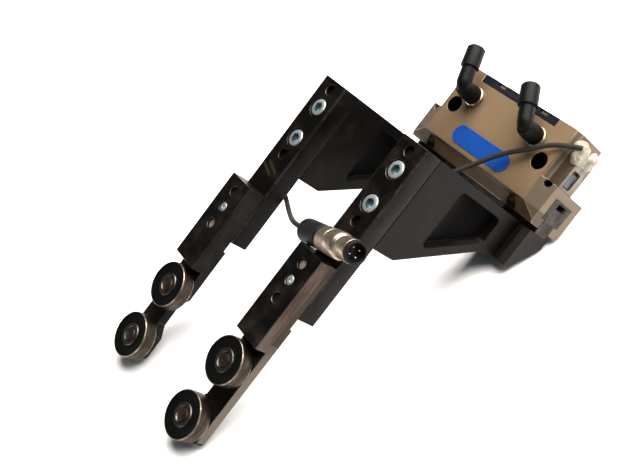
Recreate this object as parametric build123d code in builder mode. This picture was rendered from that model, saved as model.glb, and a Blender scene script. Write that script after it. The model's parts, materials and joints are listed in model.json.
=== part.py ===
"""Parallel gripper with two long offset fingers that carry rollers at their tips.

Units are millimetres. The origin is the centre of the flange face on top of the housing.
+X is the way the near jaw opens, the label face looks along -Y, and +Z leaves the flange,
so the fingers hang down along -Z. The jaws are modelled fully open.
"""
import math
import os

from build123d import *

os.makedirs("parts", exist_ok=True)

# Housing
body_length = 110.0        # along X
body_thick = 38.0          # along Y, label face to rear face
body_height = 53.5         # along Z, flange to the jaw side
end_cut_length = 10.0      # end chamfer, measured along X
end_cut_depth = 4.0        # end chamfer, measured along Y
bevel_height = 8.0         # lower bevel, measured along Z
bevel_depth = 5.3          # lower bevel, measured along Y
recess_height = 30.0       # milled end channel and sensor pocket, down from the flange
channel_radius = 5.5
channel_inset = 4.5        # channel axis in from the end face
pocket_depth = 8.0         # sensor pocket, in from the end face
pocket_front = 3.0         # pocket wall behind the label face, open to the rear
block_back = 0.3           # rear edge of the sensor block past the middle plane
rear_relief = 18.8         # rear corners, cut at 45 degrees above the recess floor

# Drive inside the housing
cover_length = 64.0
cover_width = 33.0
cover_thick = 4.0
bore_length = 58.0
bore_width = 29.0
bore_floor = 25.0
piston_thick = 9.5
piston_gap = 0.05
seal_height = 3.0
seal_depth = 1.5
rod_radius = 4.9
rod_clearance = 0.06
hook_height = 10.0
hook_width = 9.6
hook_half_bottom = 12.0
well_floor = 28.0
well_half_length = 27.0
well_half_width = 6.2

# Jaws: 8 mm of travel for 10 mm of piston rise
jaw_travel = 8.0
piston_rise = 10.0
jaw_head_width = 18.0
jaw_head_bottom = body_height - 5.5
jaw_head_top = jaw_head_bottom - 12.8
jaw_neck_width = 11.4
jaw_foot = body_height + 3.0    # contact face below the flange
hook_top = jaw_head_top + 3.3
guide_gap = 0.06
tongue_neck = 3.0
tongue_head = 3.0
tongue_neck_width = 4.6
tongue_gap = 0.15
jaw_window_width = 7.5
jaw_window_height = 3.3

# Fixing holes
side_hole_x = 37.5
side_hole_z = 24.6
side_hole_radius = 2.75
side_bore_radius = 5.0
side_bore_depth = 6.0
flange_hole_x = 41.0
flange_hole_y = 10.0
flange_hole_radius = 2.1
flange_hole_depth = 10.0
purge_hole_radius = 2.3
purge_hole_depth = 7.0
purge_hole_z = 31.4
base_screw_x = 37.0
base_screw_y = 14.3
base_screw_head = 3.5
base_screw_seat = body_height - 6.5
base_screw_hex = 1.7
base_screw_thick = 3.6
base_screw_web = 2.0

# Air fittings
port_x = 27.0
port_z = 15.0
port_radius = 4.5
port_depth = 7.0
collar_radius = 6.0
collar_height = 2.6
elbow_radius = 5.5
elbow_reach = 15.0         # outlet axis out from the label face
elbow_bend = 7.0           # knee radius on the centre line
elbow_knee_radius = 4.8
elbow_barrel = 3.2
outlet_radius = 5.5
outlet_length = 24.0
outlet_cap = 11.5
tube_radius = 3.05
near_outlet_turn = 34.0    # degrees from +Z toward -X
far_outlet_turn = 22.0

# Label and cover strip
label_length = 47.6
label_width = 11.4
label_thick = 0.4
label_z = 37.0
strip_length = 62.4
strip_height = 5.0
strip_depth = 2.4
strip_notch = 2.4
strip_notch_width = 6.5
strip_notch_a = 16.2
strip_notch_b = 19.5

# Sensor, glue and cable
sensor_top = 6.0
window_z = 23.2
sensor_z = 23.8
window_width = 7.0
window_height = 10.5
window_depth = 3.0
sensor_thick = 2.2
lump_radius = 6.4
lump_side_radius = 5.4
cable_radius = 1.4

# Brackets and fingers
finger_inner = 27.0        # inner side plane of bracket and bars
finger_width = 20.0
web_face = 90.5            # bracket face that carries the bar, in front of the middle plane
bracket_low = jaw_foot + 54.0
bracket_toe = 74.0
web_rise_y = 23.0
web_rise_z = jaw_foot + 25.8
foot_front = 10.0
foot_rear = 9.0
foot_low = jaw_foot + 23.5
foot_rear_low = jaw_foot + 5.5
foot_flat = 5.0
pocket_cut = 6.0           # depth of the triangular pocket on each side
pocket_rim = 3.0           # its corner radius
pocket_bar_side = 63.5
pocket_foot_side = 25.5
pocket_top = jaw_foot + 5.5
pocket_low_bar = jaw_foot + 41.8
pocket_low_foot = jaw_foot + 21.0
jaw_screw_inner = 35.0
jaw_screw_outer = 47.5
jaw_screw_radius = 2.5
jaw_screw_head = 4.25
jaw_screw_head_height = 5.0
jaw_screw_seat = jaw_foot + 9.5
jaw_screw_depth = 9.0
sleeve_radius = 4.0
sleeve_length = 5.0
hole_gap = 0.05

bar_thick = 12.0
bar_low = jaw_foot + 103.0
bar_screw_1 = jaw_foot + 16.5
bar_screw_2 = jaw_foot + 37.0
bar_screw_radius = 3.0
bar_screw_head = 5.0
bar_screw_head_height = 6.0
bar_screw_length = 20.0
bar_bore_radius = 5.5
bar_bore_depth = 6.3
bar_dowel_1 = jaw_foot + 5.5
bar_dowel_2 = jaw_foot + 48.0
dowel_radius = 3.0
bar_dowel_sink = 2.5
bar_dowel_length = 18.0

arm_block_thick = 11.5
arm_block_top = jaw_foot + 72.0
arm_block_low = jaw_foot + 125.5
arm_step = 1.7             # arm back face behind the bar face
arm_thick = 5.5
arm_step_z = jaw_foot + 109.5
arm_low = jaw_foot + 185.5
arm_notch = 4.5            # notch between the two lugs
arm_notch_a = jaw_foot + 142.5
arm_notch_b = jaw_foot + 169.5
arm_notch_slope = 6.5
arm_tip_radius = 4.0
arm_stud_z = jaw_foot + 89.5
arm_stud_radius = 2.75
arm_dowel_a = jaw_foot + 79.5
arm_dowel_b = jaw_foot + 100.5
arm_dowel_sink = 1.6
arm_pin_depth = 16.0

# Rollers
roller_x = 35.0
roller_z1 = jaw_foot + 141.5
roller_z2 = jaw_foot + 176.5
roller_radius = 13.0
roller_width = 8.0
roller_rim = 1.3
roller_round = 0.8
inner_radius = 6.5
pin_radius = 3.8
spacer = 0.4
seal_inset = 0.4
seal_thick = 1.0
seal_lip_gap = 0.2
pin_stand = 0.2

# Plug on the near finger
plug_tail_x = 16.5
plug_tail_out = 3.1        # in front of the bar face
plug_tail_drop = 67.9      # below the jaw foot
plug_way = (0.937, -0.278, 0.213)
grip_length = 14.0
grip_radius = 6.4
grip_tail_radius = 4.4
grip_taper = 2.5
nut_length = 19.0
nut_radius = 6.95
sleeve_out = 21.0
sleeve_outer = 6.0
sleeve_wall = 0.5
insert_stand = 0.8         # the insert's rim past the sleeve
insert_wall = 0.9
insert_sink = 1.0
contact_radius = 0.55
contact_length = 4.0
contact_circle = 2.6

half_l = body_length / 2
half_t = body_thick / 2
face_half = half_l - end_cut_length
jaw_slope = jaw_travel / piston_rise
bar_face = web_face + bar_thick
finger_outer = finger_inner + finger_width
finger_mid = finger_inner + finger_width / 2
arm_face = bar_face + arm_block_thick
arm_back = bar_face - arm_step
arm_front = arm_back + arm_thick
roller_back = arm_front + spacer
roller_front = roller_back + roller_width
hook_low = hook_top + hook_height


def flank(z):
    """Half length of the wedge hook at height z, measured from the middle plane."""
    return hook_half_bottom + jaw_slope * (z + hook_low)


def flank_band(start, end, top, bottom):
    """Corners of a slanted band that runs beside the hook flank on the +X side."""
    return [
        (flank(-bottom) + start, -bottom),
        (flank(-bottom) + end, -bottom),
        (flank(-top) + end, -top),
        (flank(-top) + start, -top),
    ]


# Housing block with its chamfers, guide slot, bore, ports and end pockets
with BuildPart() as housing:
    with BuildSketch():
        with BuildLine():
            Polyline(
                (-face_half, -half_t), (face_half, -half_t), (half_l, end_cut_depth - half_t),
                (half_l, half_t - end_cut_depth), (face_half, half_t), (-face_half, half_t),
                (-half_l, half_t - end_cut_depth), (-half_l, end_cut_depth - half_t),
                close=True,
            )
        make_face()
    extrude(amount=-body_height)
    with BuildSketch(Plane.YZ):
        with BuildLine():
            Polyline(
                (-half_t, 0), (half_t, 0), (half_t, bevel_height - body_height),
                (half_t - bevel_depth, -body_height), (bevel_depth - half_t, -body_height),
                (-half_t, bevel_height - body_height),
                close=True,
            )
        make_face()
    extrude(amount=half_l, both=True, mode=Mode.INTERSECT)
    # T-shaped guide for the jaws
    with BuildSketch(Plane.YZ):
        with Locations((0, -(jaw_head_top + jaw_head_bottom) / 2)):
            Rectangle(jaw_head_width + 2 * guide_gap, jaw_head_bottom - jaw_head_top + 2 * guide_gap)
        with Locations((0, -(jaw_head_bottom + body_height) / 2)):
            Rectangle(jaw_neck_width + 2 * guide_gap, body_height - jaw_head_bottom + 4 * guide_gap)
    extrude(amount=half_l, both=True, mode=Mode.SUBTRACT)
    # Cover seat, oval bore, rod hole and the well that clears the rising hook
    with BuildSketch():
        SlotOverall(cover_length, cover_width)
    extrude(amount=-cover_thick, mode=Mode.SUBTRACT)
    with BuildSketch():
        SlotOverall(bore_length, bore_width)
    extrude(amount=-bore_floor, mode=Mode.SUBTRACT)
    with BuildSketch():
        Circle(rod_radius + rod_clearance)
    extrude(amount=-well_floor, mode=Mode.SUBTRACT)
    with BuildSketch(Plane.XY.offset(-well_floor)):
        Rectangle(2 * well_half_length, 2 * well_half_width)
    extrude(amount=well_floor - jaw_head_top, mode=Mode.SUBTRACT)
    # Counterbored fixing holes through the label face
    with Locations(Plane.XZ.offset(half_t)):
        with Locations((side_hole_x, -side_hole_z), (-side_hole_x, -side_hole_z)):
            CounterBoreHole(side_hole_radius, side_bore_radius, side_bore_depth)
    # Air ports with their passages into the bore
    with Locations(Plane.XZ.offset(half_t)):
        with Locations((port_x, -port_z), (-port_x, -port_z)):
            Hole(port_radius, port_depth)
            Hole(port_radius / 3, half_t - 1)
    # Tapped holes in the flange
    with Locations(Plane.XY):
        with GridLocations(2 * flange_hole_x, 2 * flange_hole_y, 2, 2):
            Hole(flange_hole_radius, flange_hole_depth)
    # Milled channel and sensor pocket at each end, and the relieved rear corners
    with BuildSketch():
        with Locations((half_l - channel_inset, 0.5 - half_t), (channel_inset - half_l, 0.5 - half_t)):
            Circle(channel_radius)
        with Locations((half_l, pocket_front / 2), (-half_l, pocket_front / 2)):
            Rectangle(2 * pocket_depth, body_thick - pocket_front)
    extrude(amount=-recess_height, mode=Mode.SUBTRACT)
    with BuildSketch():
        with BuildLine():
            Polyline((half_l, half_t - rear_relief), (half_l, half_t), (half_l - rear_relief, half_t), close=True)
        make_face()
        mirror(about=Plane.YZ)
    extrude(amount=-recess_height, mode=Mode.SUBTRACT)
    # Recess for the cover strip in the upper edge of the label face
    with BuildSketch(Plane.XZ.offset(half_t - strip_depth)):
        with Locations((0, -strip_height / 2)):
            Rectangle(strip_length + 2 * hole_gap, strip_height)
    extrude(amount=strip_depth, mode=Mode.SUBTRACT)
    # Screw holes that come up through the lower bevels
    with BuildSketch(Plane.XY.offset(-body_height)):
        with GridLocations(2 * base_screw_x, 2 * base_screw_y, 2, 2):
            Circle(base_screw_head + 2 * hole_gap)
    extrude(amount=body_height - base_screw_seat, mode=Mode.SUBTRACT)
    # Tapped holes square to the end chamfers
    for side in (1, -1):
        slope = Vector(side * end_cut_depth, -end_cut_length, 0).normalized()
        middle = Vector(side * (half_l - end_cut_length / 2), end_cut_depth / 2 - half_t, -purge_hole_z)
        with Locations(Plane(origin=middle, z_dir=slope)):
            Hole(purge_hole_radius, purge_hole_depth)

# Cover plate in the flange
with BuildPart() as cylinder_cover:
    with BuildSketch():
        SlotOverall(cover_length - 2 * hole_gap, cover_width - 2 * hole_gap)
    extrude(amount=-cover_thick)

# Piston with its rod, at the bottom of the bore
piston_low = bore_floor - 0.1
with BuildPart() as piston:
    with BuildSketch(Plane.XY.offset(-piston_low)):
        SlotOverall(bore_length - 2 * piston_gap, bore_width - 2 * piston_gap)
    extrude(amount=piston_thick)
    with BuildSketch(Plane.XY.offset(-piston_low + (piston_thick - seal_height) / 2)):
        SlotOverall(bore_length + 4, bore_width + 4)
        SlotOverall(bore_length - 2 * seal_depth, bore_width - 2 * seal_depth, mode=Mode.SUBTRACT)
    extrude(amount=seal_height, mode=Mode.SUBTRACT)
    with BuildSketch(Plane.XY.offset(-hook_top)):
        Circle(rod_radius)
    extrude(amount=hook_top - piston_low)

with BuildPart() as piston_seal:
    with BuildSketch(Plane.XY.offset(-piston_low + (piston_thick - seal_height) / 2)):
        SlotOverall(bore_length - 2 * piston_gap, bore_width - 2 * piston_gap)
        SlotOverall(bore_length - 2 * seal_depth, bore_width - 2 * seal_depth, mode=Mode.SUBTRACT)
    extrude(amount=seal_height)

# Wedge hook: a trapezoid with a T tongue along each flank
with BuildPart() as wedge_hook:
    with BuildSketch(Plane.XZ):
        with BuildLine():
            Polyline(
                (-flank(-hook_low), -hook_low), (flank(-hook_low), -hook_low),
                (flank(-hook_top), -hook_top), (-flank(-hook_top), -hook_top),
                close=True,
            )
        make_face()
    extrude(amount=hook_width / 2, both=True)
    with BuildSketch(Plane.XZ):
        with BuildLine():
            Polyline(flank_band(0, tongue_neck + tongue_gap, hook_top, hook_low), close=True)
        make_face()
        mirror(about=Plane.YZ)
    extrude(amount=tongue_neck_width / 2 - tongue_gap, both=True)
    with BuildSketch(Plane.XZ):
        with BuildLine():
            Polyline(
                flank_band(tongue_neck + tongue_gap, tongue_neck + tongue_head - tongue_gap, hook_top, hook_low),
                close=True,
            )
        make_face()
        mirror(about=Plane.YZ)
    extrude(amount=hook_width / 2 - tongue_gap, both=True)

# Base jaw: T section whose inner end is slotted for the hook
with BuildPart() as base_jaw_near:
    with BuildSketch(Plane.XZ):
        with BuildLine():
            Polyline(
                (flank(-jaw_head_bottom) + tongue_gap, -jaw_head_bottom), (half_l, -jaw_head_bottom),
                (half_l, -jaw_head_top), (flank(-jaw_head_top) + tongue_gap, -jaw_head_top),
                close=True,
            )
        make_face()
    extrude(amount=jaw_head_width / 2, both=True)
    with BuildSketch(Plane.XZ):
        with Locations(((finger_inner + half_l) / 2, -(jaw_head_bottom + jaw_foot) / 2)):
            Rectangle(half_l - finger_inner, jaw_foot - jaw_head_bottom)
    extrude(amount=jaw_neck_width / 2, both=True)
    with BuildSketch(Plane.XZ):
        with BuildLine():
            Polyline(flank_band(-1, tongue_neck + 0.1, jaw_head_top - 1, jaw_head_bottom + 1), close=True)
        make_face()
    extrude(amount=tongue_neck_width / 2, both=True, mode=Mode.SUBTRACT)
    with BuildSketch(Plane.XZ):
        with BuildLine():
            Polyline(
                flank_band(tongue_neck, tongue_neck + tongue_head, jaw_head_top - 1, jaw_head_bottom + 1),
                close=True,
            )
        make_face()
    extrude(amount=hook_width / 2 + tongue_gap, both=True, mode=Mode.SUBTRACT)
    # Window in the end face
    with BuildSketch(Plane.YZ.offset(half_l)):
        with Locations((0, -jaw_head_top - 1.2 - jaw_window_height / 2)):
            Rectangle(jaw_window_width, jaw_window_height)
    extrude(amount=-6, mode=Mode.SUBTRACT)
    # Threads and sleeve seats under the neck
    with Locations(Plane.XY.offset(-jaw_foot).rotated((180, 0, 0))):
        with Locations((jaw_screw_inner, 0), (jaw_screw_outer, 0)):
            CounterBoreHole(
                jaw_screw_radius + hole_gap, sleeve_radius + hole_gap, sleeve_length / 2, jaw_screw_depth
            )

# Bracket: offset web with a triangular pocket on each side, and a foot under the jaw
with BuildPart() as bracket_near:
    with BuildSketch(Plane.YZ.offset(finger_inner)):
        with BuildLine():
            Polyline(
                (-web_face, -jaw_foot), (foot_rear, -jaw_foot), (foot_rear, -foot_rear_low),
                (-foot_flat, -foot_low), (-foot_front, -foot_low), (-web_rise_y, -web_rise_z),
                (-bracket_toe, -bracket_low), (-web_face, -bracket_low),
                close=True,
            )
        make_face()
    extrude(amount=finger_width)
    with BuildSketch(Plane.YZ.offset(finger_outer)):
        with BuildLine():
            Polyline(
                (-foot_front, -jaw_foot), (foot_rear, -jaw_foot), (foot_rear, -foot_rear_low),
                (-foot_flat, -foot_low), (-foot_front, -foot_low),
                close=True,
            )
        make_face()
    extrude(amount=half_l - finger_outer)
    for start, way in ((finger_outer, -1), (finger_inner, 1)):
        with BuildSketch(Plane.YZ.offset(start)) as pocket:
            with BuildLine():
                Polyline(
                    (-pocket_bar_side, -pocket_top), (-pocket_foot_side, -pocket_top),
                    (-pocket_foot_side, -pocket_low_foot), (-pocket_bar_side, -pocket_low_bar),
                    close=True,
                )
            make_face()
            fillet(pocket.vertices(), radius=pocket_rim)
        extrude(amount=way * pocket_cut, mode=Mode.SUBTRACT)
    # Screw and dowel holes for the bar
    with Locations(Plane.XZ.offset(web_face)):
        with Locations((finger_mid, -bar_screw_1), (finger_mid, -bar_screw_2)):
            Hole(bar_screw_radius + hole_gap, bar_screw_length - bar_thick + bar_bore_depth + 1)
        with Locations((finger_mid, -bar_dowel_1), (finger_mid, -bar_dowel_2)):
            Hole(dowel_radius + hole_gap, bar_dowel_length - bar_thick + bar_dowel_sink + 0.5)
    # Counterbored holes from below for the jaw screws, and the sleeve seats
    with BuildSketch(Plane.XY.offset(-jaw_screw_seat)):
        with Locations((jaw_screw_inner, 0), (jaw_screw_outer, 0)):
            Circle(jaw_screw_head + 5 * hole_gap)
    extrude(amount=jaw_screw_seat - foot_low - 1, mode=Mode.SUBTRACT)
    with Locations(Plane.XY.offset(-jaw_foot)):
        with Locations((jaw_screw_inner, 0), (jaw_screw_outer, 0)):
            CounterBoreHole(
                jaw_screw_radius + hole_gap, sleeve_radius + hole_gap, sleeve_length / 2,
                jaw_screw_seat - jaw_foot + 1,
            )

with BuildPart() as jaw_screws_near:
    with BuildSketch(Plane.XY.offset(-jaw_screw_seat)):
        with Locations((jaw_screw_inner, 0), (jaw_screw_outer, 0)):
            Circle(jaw_screw_head)
            RegularPolygon(2.3, 6, mode=Mode.SUBTRACT)
    extrude(amount=-jaw_screw_head_height)
    with BuildSketch(Plane.XY.offset(-jaw_screw_seat - jaw_screw_head_height / 2)):
        with Locations((jaw_screw_inner, 0), (jaw_screw_outer, 0)):
            Circle(jaw_screw_radius + 0.3)
    extrude(amount=jaw_screw_head_height / 2)
    with BuildSketch(Plane.XY.offset(-jaw_screw_seat)):
        with Locations((jaw_screw_inner, 0), (jaw_screw_outer, 0)):
            Circle(jaw_screw_radius)
    extrude(amount=jaw_screw_seat - jaw_foot + jaw_screw_depth - 1.5)

with BuildPart() as jaw_sleeves_near:
    with BuildSketch(Plane.XY.offset(-jaw_foot - sleeve_length / 2 + hole_gap)):
        with Locations((jaw_screw_inner, 0), (jaw_screw_outer, 0)):
            Circle(sleeve_radius)
            Circle(sleeve_radius - 1, mode=Mode.SUBTRACT)
    extrude(amount=sleeve_length - 2 * hole_gap)

# Finger bar
with BuildPart() as finger_bar_near:
    with BuildSketch(Plane.XZ.offset(web_face)):
        with Locations((finger_mid, -(jaw_foot + bar_low) / 2)):
            Rectangle(finger_width, bar_low - jaw_foot)
    extrude(amount=bar_thick)
    chamfer(bar_edges := finger_bar_near.edges().filter_by(Axis.Z), length=0.5)
    with Locations(Plane.XZ.offset(bar_face)):
        with Locations((finger_mid, -bar_screw_1), (finger_mid, -bar_screw_2)):
            CounterBoreHole(bar_screw_radius + hole_gap, bar_bore_radius, bar_bore_depth)
        with Locations((finger_mid, -bar_dowel_1), (finger_mid, -bar_dowel_2)):
            Hole(dowel_radius + hole_gap)
        with Locations((finger_mid, -arm_dowel_a), (finger_mid, -arm_stud_z), (finger_mid, -arm_dowel_b)):
            Hole(arm_stud_radius + hole_gap, arm_pin_depth - arm_block_thick)

with BuildPart() as bar_screws_near:
    with BuildSketch(Plane.XZ.offset(bar_face - bar_bore_depth)):
        with Locations((finger_mid, -bar_screw_1), (finger_mid, -bar_screw_2)):
            Circle(bar_screw_head)
    extrude(amount=bar_screw_head_height)
    chamfer(bar_screws_near.faces().sort_by(Axis.Y)[0:2].edges().filter_by(GeomType.CIRCLE), length=0.5)
    with BuildSketch(Plane.XZ.offset(bar_face - bar_bore_depth + bar_screw_head_height)):
        with Locations((finger_mid, -bar_screw_1), (finger_mid, -bar_screw_2)):
            RegularPolygon(2.9, 6)
    extrude(amount=-3, mode=Mode.SUBTRACT)
    with BuildSketch(Plane.XZ.offset(bar_face - bar_bore_depth)):
        with Locations((finger_mid, -bar_screw_1), (finger_mid, -bar_screw_2)):
            Circle(bar_screw_radius)
    extrude(amount=-bar_screw_length)

with BuildPart() as bar_dowels_near:
    with BuildSketch(Plane.XZ.offset(bar_face - bar_dowel_sink)):
        with Locations((finger_mid, -bar_dowel_1), (finger_mid, -bar_dowel_2)):
            Circle(dowel_radius)
    extrude(amount=-bar_dowel_length)

# Roller arm: a block on the bar that thins to a lugged arm
with BuildPart() as roller_arm_near:
    with BuildSketch(Plane.XZ.offset(bar_face)):
        with Locations((finger_mid, -(arm_block_top + arm_block_low) / 2)):
            Rectangle(finger_width, arm_block_low - arm_block_top)
    extrude(amount=arm_block_thick)
    with BuildSketch(Plane.XZ.offset(arm_back)) as arm_outline:
        with BuildLine():
            Polyline(
                (finger_outer, -arm_step_z), (finger_outer, -arm_low), (finger_inner, -arm_low),
                (finger_inner, -arm_notch_b),
                (finger_inner + arm_notch, arm_notch_slope - arm_notch_b),
                (finger_inner + arm_notch, -arm_notch_a - arm_notch_slope),
                (finger_inner, -arm_notch_a), (finger_inner, -arm_step_z),
                close=True,
            )
        make_face()
        fillet(arm_outline.vertices().group_by(Axis.Y)[0], radius=arm_tip_radius)
    extrude(amount=arm_thick)
    with Locations(Plane.XZ.offset(arm_face)):
        with Locations((finger_mid, -arm_dowel_a), (finger_mid, -arm_stud_z), (finger_mid, -arm_dowel_b)):
            Hole(arm_stud_radius + hole_gap, arm_block_thick)
    with Locations(Plane.XZ.offset(arm_front)):
        with Locations((roller_x, -roller_z1), (roller_x, -roller_z2)):
            Hole(pin_radius, arm_thick)

with BuildPart() as arm_stud_near:
    with BuildSketch(Plane.XZ.offset(arm_face - 0.3)):
        with Locations((finger_mid, -arm_stud_z)):
            Circle(arm_stud_radius)
    extrude(amount=0.6 - arm_pin_depth)
    with BuildSketch(Plane.XZ.offset(arm_face - 0.3)):
        with Locations((finger_mid, -arm_stud_z)):
            RegularPolygon(1.4, 6)
    extrude(amount=-2.2, mode=Mode.SUBTRACT)

with BuildPart() as arm_dowels_near:
    with BuildSketch(Plane.XZ.offset(arm_face - arm_dowel_sink)):
        with Locations((finger_mid, -arm_dowel_a), (finger_mid, -arm_dowel_b)):
            Circle(arm_stud_radius)
    extrude(amount=arm_dowel_sink + 0.3 - arm_pin_depth)

# Rollers: sealed ball bearings on shouldered pins
with BuildPart() as roller_ring_near_upper:
    with BuildSketch(Plane.XZ.offset(roller_back)):
        with Locations((roller_x, -roller_z1)):
            Circle(roller_radius)
            Circle(roller_radius - roller_rim, mode=Mode.SUBTRACT)
    extrude(amount=roller_width)
    fillet(roller_ring_near_upper.edges().filter_by(GeomType.CIRCLE).group_by(SortBy.RADIUS)[-1],
           radius=roller_round)

with BuildPart() as roller_seals_near_upper:
    with BuildSketch(Plane.XZ.offset(roller_back + seal_inset)):
        with Locations((roller_x, -roller_z1)):
            Circle(roller_radius - roller_rim)
            Circle(inner_radius + seal_lip_gap, mode=Mode.SUBTRACT)
    extrude(amount=seal_thick)
    with BuildSketch(Plane.XZ.offset(roller_front - seal_inset)):
        with Locations((roller_x, -roller_z1)):
            Circle(roller_radius - roller_rim)
            Circle(inner_radius + seal_lip_gap, mode=Mode.SUBTRACT)
    extrude(amount=-seal_thick)

with BuildPart() as roller_hub_near_upper:
    with BuildSketch(Plane.XZ.offset(roller_back)):
        with Locations((roller_x, -roller_z1)):
            Circle(inner_radius)
            Circle(pin_radius, mode=Mode.SUBTRACT)
    extrude(amount=roller_width)
    chamfer(roller_hub_near_upper.edges().filter_by(GeomType.CIRCLE).group_by(SortBy.RADIUS)[-1], length=0.4)

with BuildPart() as roller_pin_near_upper:
    with BuildSketch(Plane.XZ.offset(arm_back)):
        with Locations((roller_x, -roller_z1)):
            Circle(pin_radius)
    extrude(amount=roller_front + pin_stand - arm_back)
    chamfer(roller_pin_near_upper.faces().sort_by(Axis.Y)[0].edges(), length=0.4)
    with BuildSketch(Plane.XZ.offset(arm_front)):
        with Locations((roller_x, -roller_z1)):
            Circle(inner_radius)
    extrude(amount=spacer)

# Air fittings: collar screwed into the port, swivel elbow, release ring
turns = {"near": near_outlet_turn, "far": far_outlet_turn}
fittings = {}
for side, turn in turns.items():
    sign = 1 if side == "near" else -1
    lean = math.radians(turn)
    way = Vector(-math.sin(lean), 0, math.cos(lean))
    middle = Vector(sign * port_x, -half_t - elbow_reach, -port_z)
    with BuildPart() as fitting_collar:
        with BuildSketch(Plane.XZ.offset(half_t)):
            with Locations((sign * port_x, -port_z)):
                Circle(collar_radius)
        extrude(amount=collar_height)
        chamfer(fitting_collar.faces().sort_by(Axis.Y)[0].edges(), length=0.5)
        with BuildSketch(Plane.XZ.offset(half_t)):
            with Locations((sign * port_x, -port_z)):
                Circle(port_radius - hole_gap)
        extrude(amount=0.5 - port_depth)
    with BuildPart() as fitting_elbow:
        with BuildSketch(Plane.XZ.offset(half_t + collar_height)):
            with Locations((sign * port_x, -port_z)):
                Circle(elbow_radius)
        extrude(amount=elbow_barrel)
        with BuildLine():
            FilletPolyline(
                Vector(sign * port_x, -half_t - collar_height, -port_z), middle,
                middle + way * (outlet_length - outlet_cap / 2), radius=elbow_bend,
            )
        with BuildSketch(Plane.XZ.offset(half_t + collar_height)):
            with Locations((sign * port_x, -port_z)):
                Circle(elbow_knee_radius)
        sweep()
        with BuildSketch(Plane(origin=middle + way * (outlet_length - outlet_cap), z_dir=way)):
            Circle(outlet_radius)
        extrude(amount=outlet_cap)
        fillet(fitting_elbow.faces().sort_by(Axis.Z)[-1].edges(), radius=0.8)
        with BuildSketch(Plane(origin=middle + way * outlet_length, z_dir=way)):
            Circle(tube_radius)
        extrude(amount=-outlet_cap - 2, mode=Mode.SUBTRACT)
        with BuildSketch(Plane(origin=middle + way * outlet_length, z_dir=way)):
            Circle(tube_radius + 1.3)
        extrude(amount=-3, mode=Mode.SUBTRACT)
    with BuildPart() as release_ring:
        with BuildSketch(Plane(origin=middle + way * (outlet_length - 3 + 0.6), z_dir=way)):
            Circle(tube_radius + 1.2)
            Circle(tube_radius, mode=Mode.SUBTRACT)
        extrude(amount=3.2)
    fittings["fitting_collar_" + side] = fitting_collar.part
    fittings["fitting_elbow_" + side] = fitting_elbow.part
    fittings["release_ring_" + side] = release_ring.part

# Bare oval label
with BuildPart() as label_plate:
    with BuildSketch(Plane.XZ.offset(half_t)):
        with Locations((-0.5, -label_z)):
            SlotOverall(label_length, label_width)
    extrude(amount=label_thick)

# Stepped cover strip in the upper edge
with BuildPart() as cover_strip:
    with BuildSketch(Plane.XZ.offset(half_t - strip_depth)):
        with Locations((0, -strip_height / 2)):
            Rectangle(strip_length, strip_height)
        with Locations((-strip_notch_a, -strip_notch / 2), (strip_notch_b, -strip_notch / 2)):
            Rectangle(strip_notch_width, strip_notch, mode=Mode.SUBTRACT)
    extrude(amount=strip_depth)

with BuildPart() as housing_screws:
    with BuildSketch(Plane.XY.offset(-base_screw_seat)):
        with GridLocations(2 * base_screw_x, 2 * base_screw_y, 2, 2):
            Circle(base_screw_head)
            RegularPolygon(base_screw_hex, 6, mode=Mode.SUBTRACT)
    extrude(amount=-base_screw_thick)
    with BuildSketch(Plane.XY.offset(-base_screw_seat)):
        with GridLocations(2 * base_screw_x, 2 * base_screw_y, 2, 2):
            Circle(base_screw_head - 0.5)
    extrude(amount=-base_screw_web)

# Sensor block in the end pocket, with its window and the sensor in it
block_front = pocket_front - half_t + 1.4
block_mid = (block_front + block_back) / 2
block_width = block_back - block_front
with BuildPart() as sensor_block:
    with BuildSketch(Plane.YZ.offset(half_l - pocket_depth + hole_gap)):
        with Locations((block_mid, -(sensor_top + recess_height) / 2)):
            Rectangle(block_width, recess_height - sensor_top)
    extrude(amount=pocket_depth - hole_gap)
    chamfer(sensor_block.edges().filter_by(Axis.Z), length=0.4)
    with BuildSketch(Plane.YZ.offset(half_l)):
        with Locations((block_mid - 1.5, -window_z)):
            RectangleRounded(window_width, window_height, 1.2)
    extrude(amount=-window_depth, mode=Mode.SUBTRACT)

with BuildPart() as sensor_element:
    with BuildSketch(Plane.YZ.offset(half_l - window_depth)):
        with Locations((block_mid - 1.5, -sensor_z)):
            RectangleRounded(window_width - 1.4, window_height - 2.4, 1.0)
    extrude(amount=sensor_thick)

# Sealing lump over the cable exit, moulded round the corner of the block
with BuildPart() as sealing_lump:
    with Locations((half_l - 2.4, block_front + 8, -9.4)):
        Sphere(lump_radius)
    with Locations((half_l - 3.8, block_front + 0.4, -7.4)):
        Sphere(lump_side_radius)
    with BuildSketch(Plane.XY.offset(-recess_height)):
        with Locations((half_l - pocket_depth, block_front + half_t)):
            Rectangle(2 * pocket_depth, 2 * half_t)
        with Locations((half_l - 2 * pocket_depth, -half_t)):
            Rectangle(2 * pocket_depth + 2 * hole_gap, 2 * half_t)
    extrude(amount=recess_height, mode=Mode.SUBTRACT)

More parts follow.
